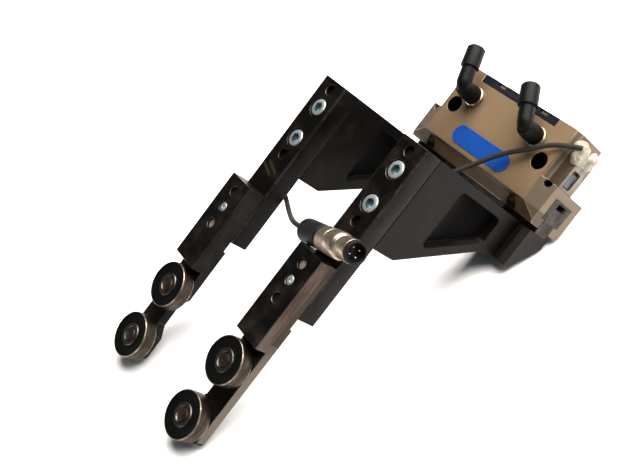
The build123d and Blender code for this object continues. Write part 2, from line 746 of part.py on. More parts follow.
# Cable: straight runs joined by arcs, from the sealing lump to the plug
tail = Vector(plug_tail_x, -bar_face - plug_tail_out, -jaw_foot - plug_tail_drop)
aim = Vector(*plug_way).normalized()
cable_points = [
    Vector(54.5, -18.0, -6.8),
    Vector(43.0, -22.2, -11.6),
    Vector(31.2, -24.0, -22.9),
    Vector(18.5, -25.6, -34.1),
    Vector(8.6, -28.8, 6.0 - jaw_foot),
    Vector(5.2, -30.7, 0.2 - jaw_foot),
    Vector(-3.0, -32.0, -jaw_foot - 11.5),
    Vector(-12.0, -31.0, -jaw_foot - 23.5),
    Vector(-24.0, -30.0, -jaw_foot - 35.5),
    Vector(-38.0, -31.0, -jaw_foot - 38.0),
    Vector(-52.0, -38.0, -jaw_foot - 38.0),
    Vector(-52.5, -52.0, -jaw_foot - 41.5),
    Vector(-52.5, -67.0, -jaw_foot - 49.5),
    Vector(-50.0, -80.0, -jaw_foot - 57.5),
    Vector(-41.0, -86.0, -jaw_foot - 63.5),
    Vector(-30.6, -87.0, -jaw_foot - 67.1),
    Vector(-13.0, -93.5, -jaw_foot - 71.1),
    tail - aim * 14,
    tail,
]


def corner_radii(points):
    """Largest arc that two neighbouring runs allow at each inner point."""
    radii = []
    for before, here, after in zip(points, points[1:], points[2:]):
        turn = math.radians((here - before).get_angle(after - here))
        shorter = min((here - before).length, (after - here).length)
        radii.append(0.45 * shorter / math.tan(turn / 2))
    return radii


radii = corner_radii(cable_points)
print("cable radii", [round(r, 1) for r in radii])
with BuildPart() as sensor_cable:
    with BuildLine() as cable_path:
        FilletPolyline(*cable_points, radius=radii)
    with BuildSketch(Plane(origin=cable_points[0], z_dir=cable_points[1] - cable_points[0])):
        Circle(cable_radius)
    sweep()
path_length = sum(edge.length for edge in cable_path.edges())
print("cable length", round(path_length, 1), "volume ratio",
      round(sensor_cable.part.volume / (math.pi * cable_radius ** 2 * path_length), 4))

# Plug: tapered grip, knurled nut, threaded sleeve, insert with four contacts
plug_axis = Plane(origin=tail, z_dir=aim)
with BuildPart() as plug_grip:
    with BuildSketch(plug_axis):
        Circle(grip_tail_radius)
    with BuildSketch(plug_axis.offset(grip_taper)):
        Circle(grip_radius)
    loft()
    with BuildSketch(plug_axis.offset(grip_taper)):
        Circle(grip_radius)
    extrude(amount=grip_length - grip_taper)

with BuildPart() as plug_nut:
    with BuildSketch(plug_axis.offset(grip_length)):
        Circle(nut_radius)
        with PolarLocations(nut_radius, 16):
            Circle(0.45, mode=Mode.SUBTRACT)
    extrude(amount=nut_length - 5)
    with BuildSketch(plug_axis.offset(grip_length + nut_length - 5)):
        Circle(nut_radius - 0.5)
    extrude(amount=5)
    with BuildSketch(plug_axis.offset(grip_length)):
        Circle(sleeve_outer + hole_gap)
    extrude(amount=nut_length, mode=Mode.SUBTRACT)

with BuildPart() as plug_sleeve:
    with BuildSketch(plug_axis.offset(grip_length)):
        Circle(sleeve_outer)
    extrude(amount=nut_length + sleeve_out)
    with BuildSketch(plug_axis.offset(grip_length + nut_length + sleeve_out)):
        Circle(sleeve_outer - sleeve_wall)
    extrude(amount=-contact_length - 3, mode=Mode.SUBTRACT)

plug_end = grip_length + nut_length + sleeve_out
with BuildPart() as plug_insert:
    with BuildSketch(plug_axis.offset(plug_end - contact_length - 3)):
        Circle(sleeve_outer - sleeve_wall)
    extrude(amount=contact_length + 3 + insert_stand)
    with BuildSketch(plug_axis.offset(plug_end + insert_stand)):
        Circle(sleeve_outer - sleeve_wall - insert_wall)
    extrude(amount=-contact_length - insert_stand, mode=Mode.SUBTRACT)
    with BuildSketch(plug_axis.offset(plug_end - contact_length)):
        with PolarLocations(contact_circle, 4):
            Circle(contact_radius)
    extrude(amount=contact_length - insert_sink)


def save(part, name):
    """Label one finished piece and write it under its own name."""
    part.label = name
    export_step(part, "parts/" + name + ".step")


def save_pair(part, stem, tip=""):
    """Write a near-side piece and its mirror image on the far side."""
    save(part, stem + "_near" + tip)
    save(mirror(part, about=Plane.YZ), stem + "_far" + tip)


save(housing.part, "housing")
save(cylinder_cover.part, "cylinder_cover")
save(piston.part, "piston")
save(piston_seal.part, "piston_seal")
save(wedge_hook.part, "wedge_hook")
save(cover_strip.part, "cover_strip")
save(label_plate.part, "label_plate")
save(housing_screws.part, "housing_screws")
save_pair(base_jaw_near.part, "base_jaw")
save_pair(bracket_near.part, "bracket")
save_pair(jaw_screws_near.part, "jaw_screws")
save_pair(jaw_sleeves_near.part, "jaw_sleeves")
save_pair(finger_bar_near.part, "finger_bar")
save_pair(bar_screws_near.part, "bar_screws")
save_pair(bar_dowels_near.part, "bar_dowels")
save_pair(roller_arm_near.part, "roller_arm")
save_pair(arm_stud_near.part, "arm_stud")
save_pair(arm_dowels_near.part, "arm_dowels")
drop = Location((0, 0, roller_z1 - roller_z2))
for piece, stem in (
    (roller_ring_near_upper, "roller_ring"),
    (roller_seals_near_upper, "roller_seals"),
    (roller_hub_near_upper, "roller_hub"),
    (roller_pin_near_upper, "roller_pin"),
):
    save_pair(piece.part, stem, "_upper")
    save_pair(piece.part.moved(drop), stem, "_lower")
for name, part in fittings.items():
    save(part, name)
save(sensor_block.part, "sensor_block")
save(sensor_element.part, "sensor_element")
save(sealing_lump.part, "sealing_lump")
save(sensor_cable.part, "sensor_cable")
save(plug_grip.part, "plug_grip")
save(plug_nut.part, "plug_nut")
save(plug_sleeve.part, "plug_sleeve")
save(plug_insert.part, "plug_insert")
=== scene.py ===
# %% [markdown]
# # A parallel gripper with two long roller fingers
# The real thing is an air-driven gripper. A bronze-coloured aluminium block slides two
# base jaws, and each jaw carries an offset black bracket, a bar and an arm with two rollers.
# The exact shapes come from the CAD model, which is loaded here as a fixed frame in metres.
# Blender's job is the surface: broken edges, turned details, finishes, cable, camera and light.

# %% Load the frame and keep the size of the CAD model
import json
import math

import bpy
from mathutils import Matrix, Vector


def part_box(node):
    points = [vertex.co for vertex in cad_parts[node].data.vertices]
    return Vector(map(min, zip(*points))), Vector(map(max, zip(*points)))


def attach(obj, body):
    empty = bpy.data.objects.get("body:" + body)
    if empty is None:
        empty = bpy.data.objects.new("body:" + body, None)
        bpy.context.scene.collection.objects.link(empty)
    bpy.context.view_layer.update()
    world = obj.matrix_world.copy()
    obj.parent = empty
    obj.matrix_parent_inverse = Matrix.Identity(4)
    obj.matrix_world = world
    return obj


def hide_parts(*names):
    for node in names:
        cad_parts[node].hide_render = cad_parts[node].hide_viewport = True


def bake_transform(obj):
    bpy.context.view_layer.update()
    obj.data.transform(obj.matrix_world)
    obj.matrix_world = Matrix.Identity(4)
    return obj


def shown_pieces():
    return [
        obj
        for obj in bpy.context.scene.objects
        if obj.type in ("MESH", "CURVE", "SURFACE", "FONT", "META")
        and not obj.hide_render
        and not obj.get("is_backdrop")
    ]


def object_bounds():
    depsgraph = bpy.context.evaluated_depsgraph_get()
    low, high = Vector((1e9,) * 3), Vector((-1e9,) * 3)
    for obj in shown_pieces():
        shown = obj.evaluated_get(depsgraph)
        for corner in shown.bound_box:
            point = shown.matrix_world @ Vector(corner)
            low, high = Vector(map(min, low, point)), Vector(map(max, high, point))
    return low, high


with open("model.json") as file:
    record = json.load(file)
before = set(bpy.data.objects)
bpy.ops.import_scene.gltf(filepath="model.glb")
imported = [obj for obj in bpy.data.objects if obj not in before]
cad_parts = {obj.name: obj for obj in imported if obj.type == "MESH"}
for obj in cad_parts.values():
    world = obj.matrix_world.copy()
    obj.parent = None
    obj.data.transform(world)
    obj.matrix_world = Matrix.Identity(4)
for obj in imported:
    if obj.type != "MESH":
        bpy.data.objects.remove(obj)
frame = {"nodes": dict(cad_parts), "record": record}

cad_low, cad_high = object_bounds()
nodes = frame["nodes"]
MM = 0.001
SIDES = ("near", "far")


def linked(name, data):
    """A new object for some data, linked to the scene."""
    made = bpy.data.objects.new(name, data)
    bpy.context.scene.collection.objects.link(made)
    return made


print("CAD box in mm", [round((b - a) / MM, 1) for a, b in zip(cad_low, cad_high)])

# %% [markdown]
# ## Camera
# The photograph looks down at the gripper with the camera rolled, so that the fingers point
# to the lower left. The camera's three axes were solved from edges whose real places are
# known from the CAD model. They are written as the columns of a matrix, because three angles
# would hide which way each axis points.

# %% Stand the camera where the photographer stood
CAMERA_AT = (0.36806, -0.44555, -0.05915)
CAMERA_RIGHT = (0.5057, 0.6181, 0.6019)
CAMERA_UP = (-0.4992, -0.3593, 0.7884)
CAMERA_BACK = (0.7036, -0.6992, 0.1269)
SENSOR_WIDTH, FOCAL_LENGTH = 36, 55.28
camera_data = bpy.data.cameras.new("photo_camera")
camera_data.sensor_width = SENSOR_WIDTH
camera_data.lens = FOCAL_LENGTH
camera = linked("photo_camera", camera_data)
axes = Matrix((CAMERA_RIGHT, CAMERA_UP, CAMERA_BACK)).transposed().to_4x4()
camera.matrix_world = Matrix.Translation(CAMERA_AT) @ axes
bpy.context.scene.camera = camera
print("camera stands", round(Vector(CAMERA_AT).length, 3), "m from the flange")

# %% [markdown]
# ## Expressions that build shader nodes
# A finish is easier to read as arithmetic than as a web of nodes. `Wire` wraps one output
# socket, so that `1 - mask * 0.5` adds the Math nodes by itself. `Finish` owns one material,
# and its `node` method makes any other node from a type, its settings and its inputs.


# %% Wire and Finish
class Wire:
    """One output socket of a material, with arithmetic."""

    def __init__(self, finish, socket):
        self.finish = finish
        self.socket = socket

    def maths(self, operation, first, second):
        return self.finish.node("Math", {"operation": operation}, {0: first, 1: second})

    def __add__(self, other):
        return self.maths("ADD", self, other)

    def __mul__(self, other):
        return self.maths("MULTIPLY", self, other)

    def __sub__(self, other):
        return self.maths("SUBTRACT", self, other)

    def __rsub__(self, other):
        return self.maths("SUBTRACT", other, self)

    def __pow__(self, other):
        return self.maths("POWER", self, other)

    def __gt__(self, other):
        return self.maths("GREATER_THAN", self, other)

    def __lt__(self, other):
        return self.maths("LESS_THAN", self, other)

    def __abs__(self):
        return (self * self) ** 0.5

    __radd__ = __add__
    __rmul__ = __mul__


class Finish:
    """One material whose patterns sit still on the object."""

    def __init__(self, name, **fixed):
        self.material = bpy.data.materials.new(name)
        self.material.use_nodes = True
        self.tree = self.material.node_tree
        self.shader = self.tree.nodes["Principled BSDF"]
        for socket, value in fixed.items():
            self.shader.inputs[socket.replace("_", " ")].default_value = value

    def node(self, kind, settings=None, inputs=None, out=0):
        """Add a node: settings first, then values or links for its sockets."""
        made = self.tree.nodes.new("ShaderNode" + kind)
        for key, value in (settings or {}).items():
            setattr(made, key, value)
        for key, value in (inputs or {}).items():
            if isinstance(value, Wire):
                self.tree.links.new(value.socket, made.inputs[key])
            else:
                made.inputs[key].default_value = value
        return Wire(self, made.outputs[out])

    def place(self, stretch=(1, 1, 1), turn=(0, 0, 0)):
        """The object's own coordinates in metres, stretched or turned for a pattern."""
        own = self.node("TexCoord", out="Object")
        return self.node("Mapping", None, {"Vector": own, "Rotation": turn, "Scale": stretch})

    def noise(self, scale, detail=4, roughness=0.55, stretch=(1, 1, 1), turn=(0, 0, 0)):
        """Soft cloudy noise from 0 to 1, about 1/scale metres across."""
        inputs = {"Vector": self.place(stretch, turn), "Scale": scale, "Detail": detail,
                  "Roughness": roughness}
        return self.node("TexNoise", None, inputs)

    def ease(self, value, low, high):
        """0 at low, 1 at high, and smooth between them."""
        return self.node("MapRange", {"interpolation_type": "SMOOTHSTEP"},
                         {0: value, 1: low, 2: high})

    def blend(self, factor, first, second):
        """Mix two colours."""
        return self.node("Mix", {"data_type": "RGBA"}, {0: factor, 6: first, 7: second}, out=2)

    def xyz(self):
        """The three object coordinates, each on its own wire."""
        own = self.node("TexCoord", out="Object")
        return [self.node("SeparateXYZ", None, {0: own}, out=k) for k in range(3)]

    def wear(self, colour=None, roughness=None, metallic=None, height=None, depth=0.02):
        """Feed what changes over the surface into the shader. The bump's depth is in mm."""
        feeds = {"Base Color": colour, "Roughness": roughness, "Metallic": metallic}
        if height is not None:
            feeds["Normal"] = self.node("Bump", None, {"Height": height, "Distance": depth * MM})
        for socket, wire in feeds.items():
            if wire is not None:
                self.tree.links.new(wire.socket, self.shader.inputs[socket])
        return self


def rgb(red, green, blue):
    """A colour with its alpha."""
    return (red, green, blue, 1.0)


def plain(name, colour, **fixed):
    """A finish of one even colour."""
    finish = Finish(name, **fixed)
    finish.shader.inputs["Base Color"].default_value = rgb(*colour)
    return finish


# %% [markdown]
# ## Bronze anodising
# The block is aluminium, bead blasted and hard anodised in a champagne bronze. Up close it has
# a fine matt grain, faint cutter lines along its length, stains from handling and clouds of
# grime. Painted shade darkens its ends and end chamfers, its lower bevel, the channel of its
# near end and a ring round each air port, shifted toward the fingers. The holes are painted
# black as shade: the shader darkens them by the distance from their axes, and the walls of the
# two fixing holes also get a painted black shadow finish of their own.

# %% The housing's finish
LABEL_FACE_Y, HOLE_END_Y = -19 * MM, 18.7 * MM
HOLE_X, HOLE_Z, HOLE_RADIUS = 37.5 * MM, -24.6 * MM, 5.35 * MM
HOLE_START_Y = LABEL_FACE_Y + 0.25 * MM
TAPPED_Z, TAPPED_RADIUS = -31.4 * MM, 2.6 * MM
TAPPED_X, TAPPED_Y = 50 * MM, -17 * MM
CHAMFER_SLOPE, CHAMFER_SHIFT = 0.4, -36.8 * MM
FRONT_HALF_Y = -5 * MM
END_X, CHAMFER_END_Y = 45.4 * MM, -14.9 * MM
BEVEL_Z = (-45.4 * MM, -46.0 * MM)
CHANNEL_Z, CHANNEL_Y = -29.5 * MM, -7.0 * MM
PORT_X, PORT_Z = 27 * MM, -15 * MM
# Painted shadow round the air ports: its drop toward the fingers and its outer and inner radius.
PORT_SHADE_DROP, PORT_SHADE_OUTER, PORT_SHADE_INNER = 1.5 * MM, 11 * MM, 5 * MM
# The near black of the painted shade in the holes.
HOLE_SHADE_BLACK = rgb(0.003, 0.002, 0.002)


def disc(first, second, radius):
    """1 where two offsets from an axis lie within a radius."""
    return (first * first + second * second) < radius * radius


def hole_shade_mask(finish):
    """Painted shade: 1 inside the two fixing holes and the two tapped holes of the end chamfers.
    """
    x, y, z = finish.xyz()
    span = abs(x)
    fixing = disc(span - HOLE_X, z - HOLE_Z, HOLE_RADIUS)
    fixing = fixing * (y > HOLE_START_Y) * (y < HOLE_END_Y)
    off = span + (y - TAPPED_Y) * CHAMFER_SLOPE - TAPPED_X
    tapped = disc(off, z - TAPPED_Z, TAPPED_RADIUS)
    tapped = tapped * (y > span * CHAMFER_SLOPE + CHAMFER_SHIFT) * (y < FRONT_HALF_Y)
    return fixing + tapped


bronze = Finish("bronze_anodising", IOR=1.4)
x, y, z = bronze.xyz()
stain = bronze.ease(bronze.noise(22, 5, 0.6), 0.5, 0.75)
grain = bronze.noise(2600, 3, 0.7)
lines = bronze.noise(40, 3, 0.6, stretch=(1, 30, 30))
# Painted shade by place: the ends, the end chamfers and the lower bevel are made darker.
end = bronze.ease(abs(x), END_X - 0.2 * MM, END_X + 0.2 * MM)
chamfer_shade = bronze.ease(abs(x), END_X - 0.5 * MM, END_X - 0.1 * MM) * (y < CHAMFER_END_Y)
bevel = bronze.ease(z, *BEVEL_Z) * (y < 0.0)
grime = bronze.ease(bronze.noise(34, 6, 0.68), 0.56, 0.74)
# Painted shadow: a soft dark ring round each air port, centred a little toward the fingers;
# below it shares its tone with real grime.
port_ring = (abs(x) - PORT_X) ** 2 + (z - PORT_Z + PORT_SHADE_DROP) ** 2
port_shade = bronze.ease(port_ring, PORT_SHADE_OUTER ** 2, PORT_SHADE_INNER ** 2) * (y < LABEL_FACE_Y + 0.5 * MM)
# Painted shade: the channel of the near end is made darker.
channel_shade = bronze.ease(x, END_X - 0.4 * MM, END_X) * (z > CHANNEL_Z) * (y < CHANNEL_Y)
# Painted shade: the holes turn near black.
hole_shade = hole_shade_mask(bronze)
warm = bronze.blend(bronze.noise(60, 6, 0.6), rgb(0.170, 0.108, 0.058), rgb(0.222, 0.148, 0.085))
# Each mask darkens to its tone. The stains, cutter lines and grime are real marks; the ends,
# chamfers, bevel, port rings, channel and holes are painted shade.
for mask, tone in (
    (stain * 0.45, rgb(0.155, 0.123, 0.080)),
    (end * 0.6, rgb(0.135, 0.115, 0.088)),
    (chamfer_shade * 0.85, rgb(0.066, 0.050, 0.033)),
    (lines * 0.18, rgb(0.125, 0.088, 0.054)),
    (bevel * 0.75, rgb(0.036, 0.022, 0.012)),
    (grime * 0.40 + port_shade * 0.45, rgb(0.075, 0.056, 0.038)),
    (channel_shade * 0.75, rgb(0.050, 0.034, 0.021)),
    (hole_shade * 0.97, HOLE_SHADE_BLACK),
):
    warm = bronze.blend(mask, warm, tone)
bronze.wear(warm, 0.46 + grain * 0.14 + lines * 0.05, 0.22 - hole_shade * 0.22,
            grain + lines * 0.6, 0.012)

bronze_edge = Finish("bronze_worn_edge", IOR=1.5)
rub = bronze_edge.ease(bronze_edge.noise(150, 5, 0.7), 0.35, 0.7)
# Painted shade: the broken edges inside the holes turn black too.
edge_hole_shade = hole_shade_mask(bronze_edge)
brass = bronze_edge.blend(rub, rgb(0.16, 0.112, 0.070), rgb(0.27, 0.215, 0.155))
bronze_edge.wear(bronze_edge.blend(edge_hole_shade * 0.97, brass, HOLE_SHADE_BLACK), 0.42 - rub * 0.12,
                 (0.25 + rub * 0.35) * (1 - edge_hole_shade))
# Painted shadow: a black finish for the walls of the fixing holes.
hole_shadow_black = plain("pit_shadow", (0.0015, 0.0012, 0.001), Roughness=0.9, IOR=1.05)
print("bronze finish", len(bronze.tree.nodes), "nodes")

# %% [markdown]
# ## Black anodising and bare steel
# The fingers are black, but never one black. Dust and oil leave brownish clouds, tools leave
# fine scratches, and each handled edge is rubbed through to grey metal. The chamfer that
# breaks an edge gets its own finish, so the wear follows the real edges of the part. Some
# pieces differ from the rest: the pocket of a bracket's web gets painted shade, darkest toward
# the foot, the outer side of the near bracket's foot gets painted light, and the brackets'
# edges are hardly worn. The far bar carries two faint ink strokes, and the near arm's outer
# side is rubbed to bare steel, which is palest at its tip.

# %% The fingers' finishes
WEB_X, WEB_HALF = 37 * MM, 5.3 * MM
WEB_TOP_Z, WEB_BACK_Y = -61 * MM, -24 * MM
POCKET_SLOPE, POCKET_Y, POCKET_Z = 0.547, -25.5 * MM, -80.0 * MM
# Where the painted shade lies in the brackets' web pockets, and where the painted light lies on
# the near foot's outer side.
POCKET_SHADE_Y = (-68 * MM, -45 * MM)
FOOT_X, FOOT_Y = 50 * MM, (-26 * MM, -16 * MM)
INK_STROKES = ((-40.4, -116.3), (-37.0, -113.7))
INK_HALF_WIDTH, INK_HALF_LENGTH, INK_SLOPE = 0.75 * MM, 5.2 * MM, 0.32
BAR_FRONT_Y = -102.3 * MM
BARE_FROM_X, BARE_FADE = 46.9 * MM, 0.15 * MM
STEP_Z, TIP_Z = (-126 * MM, -129 * MM), (-165 * MM, -195 * MM)
PLATE_Y, PLATE_Z = -106.3 * MM, -177 * MM


def black_finish(name, dust, bare_from=None, ink=(), shaded_pocket=False):
    """Black coating with brown clouds and scratches, and the marks of one piece: ink strokes,
    bare steel, or the painted shade and light of a bracket.
    """
    coat = Finish(name, IOR=1.19)
    x, y, z = coat.xyz()
    clouds = coat.ease(coat.noise(70, 6, 0.65), 0.42, 0.78)
    specks = coat.ease(coat.noise(900, 3, 0.7), 0.62, 0.74)
    scratch = coat.ease(coat.noise(260, 4, 0.7, (1, 0.12, 0.12), (0.3, 0.5, 0.2)), 0.64, 0.72)
    fine = coat.noise(3200, 2, 0.6)
    brown = rgb(*[c * dust for c in (0.0085, 0.0062, 0.0046)])
    colour = coat.blend(clouds, rgb(0.0017, 0.0014, 0.0012), brown)
    colour = coat.blend(scratch * 0.30, colour, rgb(0.022, 0.017, 0.014))
    colour = coat.blend(specks * 0.10, colour, rgb(0.045, 0.036, 0.030))
    rough = 0.40 + clouds * 0.14 - scratch * 0.10
    metal = None
    for centre_x, centre_z in ink:
        run = x - centre_x * MM
        off = z - centre_z * MM + run * INK_SLOPE
        stroke = (off * off < INK_HALF_WIDTH ** 2) * (run ** 2 < INK_HALF_LENGTH ** 2)
        colour = coat.blend(stroke * (y < BAR_FRONT_Y) * 0.45, colour, rgb(0.035, 0.038, 0.010))
    # Painted shade in the web's pocket, darkest toward the foot, which also makes it rougher.
    if shaded_pocket:
        in_web = (abs(x) - WEB_X) ** 2 < WEB_HALF ** 2
        above = z > (y - POCKET_Y) * POCKET_SLOPE + POCKET_Z
        pocket = in_web * above * (z < WEB_TOP_Z) * (y < WEB_BACK_Y)
        pocket_shade = pocket * coat.ease(y, *POCKET_SHADE_Y)
        colour = coat.blend(pocket_shade * 0.95, colour, rgb(0.0006, 0.0005, 0.0005))
        rough = rough + pocket_shade * 0.5
        # Painted light: the outer side of the near bracket's foot is made lighter.
        foot_side_light = coat.ease(y, *FOOT_Y) * (x > FOOT_X)
        colour = coat.blend(foot_side_light * 0.8, colour, rgb(0.014, 0.012, 0.010))
    if bare_from is not None:
        strokes = coat.noise(120, 6, 0.7, (1, 1, 0.22), (0.25, 0, 0))
        tip = coat.ease(z, *TIP_Z)
        steel = coat.blend(coat.ease(strokes, 0.3, 0.7), rgb(0.038, 0.024, 0.018),
                           rgb(0.125, 0.092, 0.075))
        steel = coat.blend(tip * 0.7, steel, rgb(0.175, 0.145, 0.122))
        below_step = coat.ease(z, *STEP_Z)
        left_black = coat.ease(coat.noise(45, 5, 0.7), 0.56, 0.66)
        plate = (y > PLATE_Y) * (z > PLATE_Z)
        bare = coat.ease(x, bare_from - BARE_FADE, bare_from) * below_step
        bare = bare * (0.85 - 0.5 * left_black) * (1 - plate * 0.6)
        colour = coat.blend(bare, colour, steel)
        metal = bare * 0.75
        rough = rough + bare * (strokes * 0.12)
    return coat.wear(colour, rough, metal, fine + scratch * 0.8, 0.010)


def worn_edge(name, ior, pattern, dark, light, rough, metal):
    """An edge that is rubbed through in places: rough and metal are a base and a change."""
    edge = Finish(name, IOR=ior)
    scale, low, high = pattern
    rub = edge.ease(edge.noise(scale, 6, 0.7), low, high)
    return edge.wear(edge.blend(rub, rgb(*dark), rgb(*light)), rough[0] - rub * rough[1],
                     rub * metal)


black = black_finish("black_anodising", 1.7)
black_web = black_finish("black_anodising_web", 1.0, shaded_pocket=True)
black_inked = black_finish("black_anodising_inked", 1.0, ink=INK_STROKES)
black_arm = black_finish("black_oxide_arm", 2.0)
black_arm_bare = black_finish("black_oxide_arm_rubbed", 2.0, BARE_FROM_X)
black_edge = worn_edge("black_worn_edge", 1.3, (95, 0.42, 0.66), (0.006, 0.005, 0.004),
                       (0.085, 0.068, 0.056), (0.40, 0.08), 0.8)
web_edge = worn_edge("black_web_edge", 1.2, (80, 0.55, 0.75), (0.003, 0.0025, 0.002),
                     (0.022, 0.017, 0.013), (0.5, 0.05), 0.3)

# %% [markdown]
# ## Steels
# Each metal runs from a dark to a light tone in clouds or streaks. The treads of the rollers
# are brown with old oil, their rims are polished and the faces inside their rims are near
# black. The pins and the jaws are ground and dull. The screws in the bars are zinc plated,
# bluish and bright, and the floors of their sockets get a painted teal reflection. The plug is
# nickel over brass, so its shadows turn warm. Of an
# arm's two dowels, one is oxide black and the other is dull brown steel.

# %% The steels and the plating
EVEN = (1, 1, 1)
STEELS = {  # dark tone, light tone, roughness, pattern scale, stretch, share of the pattern
    "roller_steel": ((0.020, 0.015, 0.011), (0.088, 0.069, 0.053), 0.34, 420,
                     (0.25, 1, 0.25), (0.25, 0.85)),
    "roller_rim_steel": ((0.10, 0.082, 0.066), (0.34, 0.29, 0.24), 0.26, 300),
    "hub_steel": ((0.045, 0.038, 0.031), (0.14, 0.122, 0.104), 0.28, 300),
    "pin_steel": ((0.025, 0.018, 0.014), (0.085, 0.064, 0.050), 0.40, 260),
    "jaw_steel": ((0.040, 0.034, 0.031), (0.068, 0.058, 0.053), 0.46, 160),
    "zinc_plate": ((0.40, 0.45, 0.47), (0.72, 0.76, 0.75), 0.42, 520, EVEN, (0.3, 0.6)),
    "nickel_plate": ((0.27, 0.205, 0.145), (0.60, 0.51, 0.41), 0.28, 330, (0.3, 1, 1)),
    # Painted reflection: the teal of the socket floors.
    "socket_painted_reflection": ((0.10, 0.17, 0.21), (0.34, 0.46, 0.52), 0.28, 500),
    "contact_metal": ((0.36, 0.33, 0.28), (0.60, 0.57, 0.51), 0.25, 900),
    "dark_screw": ((0.006, 0.005, 0.004), (0.022, 0.018, 0.015), 0.6, 300),
    "satin_aluminium": ((0.13, 0.112, 0.090), (0.21, 0.186, 0.153), 0.44, 240, (1, 1, 0.3)),
    "sensor_steel": ((0.035, 0.044, 0.058), (0.125, 0.147, 0.175), 0.28, 200, (1, 1, 0.4)),
}


def steel_finish(name, dark, light, rough, scale, stretch=EVEN, span=(0.35, 0.7)):
    """Metal that runs from a dark to a light tone in streaks or clouds."""
    steel = Finish(name, Metallic=1.0)
    tone = steel.ease(steel.noise(scale, 5, 0.65, stretch), *span)
    fine = steel.noise(scale * 9, 3, 0.6, stretch)
    return steel.wear(steel.blend(tone, rgb(*dark), rgb(*light)),
                      rough + 0.14 * (1 - tone) + fine * 0.06, None, fine, 0.008)


steels = {name: steel_finish(name, *row) for name, row in STEELS.items()}
# A near black for the faces of the outer rings inside their rims.
rim_face_black = plain("roller_rim_face_black", (0.0022, 0.0018, 0.0015), Roughness=0.6, IOR=1.15)
# Painted shade: dark brown for the front faces of the sensor block.
block_front_shade = Finish("block_front_shade", IOR=1.3)
stain = block_front_shade.ease(block_front_shade.noise(75, 4, 0.6), 0.35, 0.75)
block_front_shade.wear(block_front_shade.blend(stain, rgb(0.040, 0.026, 0.016), rgb(0.085, 0.060, 0.040)),
                  0.45 + stain * 0.1)


def dowel_finish(side, pale_end):
    """Oxide black on one of an arm's two dowels, and dull brown steel on the other."""
    low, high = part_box("arm_dowels_" + side)
    steel = Finish(side + "_dowel_steel", IOR=1.45)
    height = steel.xyz()[2]
    pale = (height - (low.z + high.z) / 2) * pale_end > 0.0
    cloud = steel.noise(260, 4, 0.6)
    tone = steel.blend(pale * (0.7 + cloud * 0.3), rgb(0.0025, 0.002, 0.002),
                       rgb(0.20, 0.15, 0.125))
    return steel.wear(tone, 0.42 + cloud * 0.1)


dowels = {side: dowel_finish(side, pale_end) for side, pale_end in zip(SIDES, (1, -1))}

# %% [markdown]
# ## Plastics, rubber, label and sealant
# Moulded plastic has a fine spark-eroded texture that breaks up its gloss. The rubber shields
# of the rollers are matt and dusty. The label is a smooth blue film, left bare. The sealant is
# a set, cloudy drop, so light enters it a little way, and it turns amber beside the cable.


# %% The soft and moulded finishes
def moulded(name, colour, rough, dust, scale=1500, ior=1.24):
    """Plastic or rubber with a fine texture and a little dust."""
    skin = Finish(name, IOR=ior)
    haze = skin.ease(skin.noise(90, 5, 0.6), 0.45, 0.8)
    tooth = skin.noise(scale, 3, 0.65)
    pale = tuple(c * 0.5 + dust for c in colour)
    return skin.wear(skin.blend(haze, rgb(*colour), rgb(*pale)), rough + tooth * 0.12,
                     None, tooth, 0.02)


fitting_plastic = moulded("fitting_plastic", (0.0026, 0.0023, 0.0020), 0.42, 0.003, ior=1.21)
grip_plastic = moulded("grip_plastic", (0.0055, 0.005, 0.005), 0.46, 0.005)
shield_rubber = moulded("shield_rubber", (0.0018, 0.0018, 0.0017), 0.55, 0.0018, ior=1.14)
strip_plastic = moulded("strip_plastic", (0.0045, 0.005, 0.0115), 0.50, 0.004)
jacket = moulded("cable_jacket", (0.023, 0.021, 0.019), 0.55, 0.014, scale=2400)

film = Finish("blue_label_film", IOR=1.35, Coat_Roughness=0.2)
mottle = film.noise(140, 4, 0.6)
film.wear(film.blend(mottle, rgb(0.001, 0.040, 0.235), rgb(0.002, 0.053, 0.275)),
          0.42 + mottle * 0.1, None, film.noise(700, 2, 0.5), 0.006)

sealant = Finish("cloudy_sealant", IOR=1.45, Subsurface_Weight=0.35, Subsurface_Scale=0.002)
milk = sealant.ease(sealant.noise(330, 5, 0.6), 0.35, 0.7)
amber = sealant.ease(sealant.noise(160, 3, 0.6), 0.55, 0.75)
by_cable = sealant.ease(sealant.xyz()[1], -12.5 * MM, -16.5 * MM)
body_tone = sealant.blend(milk, rgb(0.21, 0.185, 0.145), rgb(0.42, 0.395, 0.345))
body_tone = sealant.blend(amber * 0.3 + by_cable * 0.3, body_tone, rgb(0.25, 0.19, 0.095))
sealant.wear(body_tone, 0.28 + milk * 0.25, None, milk, 0.15)

# %% [markdown]
# ## Tools for modelling by operator
# Every new piece is made as it would be by hand: add a primitive, shape it in edit mode, then
# apply its modifiers. A turned part starts as a circle that is extruded and scaled ring by
# ring, like a potter's wheel. A milled part starts as a copy of its CAD node, merged back into
# whole faces, and its sharp edges are broken with a bevel that has its own finish.

# %% Selecting, turning and seating
MERGE_GAP, RING_GAP = 2e-6, 1e-6
FLAT_ANGLE = math.radians(1)
EDGE_ANGLE = math.radians(33)
OUT = Vector((0, -1, 0))


def only(piece):
    """Select one object and nothing else."""
    bpy.ops.object.select_all(action="DESELECT")
    piece.select_set(True)
    bpy.context.view_layer.objects.active = piece


def smooth(piece, degrees=30):
    """Shade smooth, but keep edges sharper than this angle crisp."""
    only(piece)
    bpy.ops.object.shade_smooth_by_angle(angle=math.radians(degrees))


def settle(piece, placing):
    """Move a piece by a matrix and leave its object at the origin."""
    only(piece)
    piece.matrix_world = placing @ piece.matrix_world
    bpy.ops.object.transform_apply(location=True, rotation=True, scale=True)


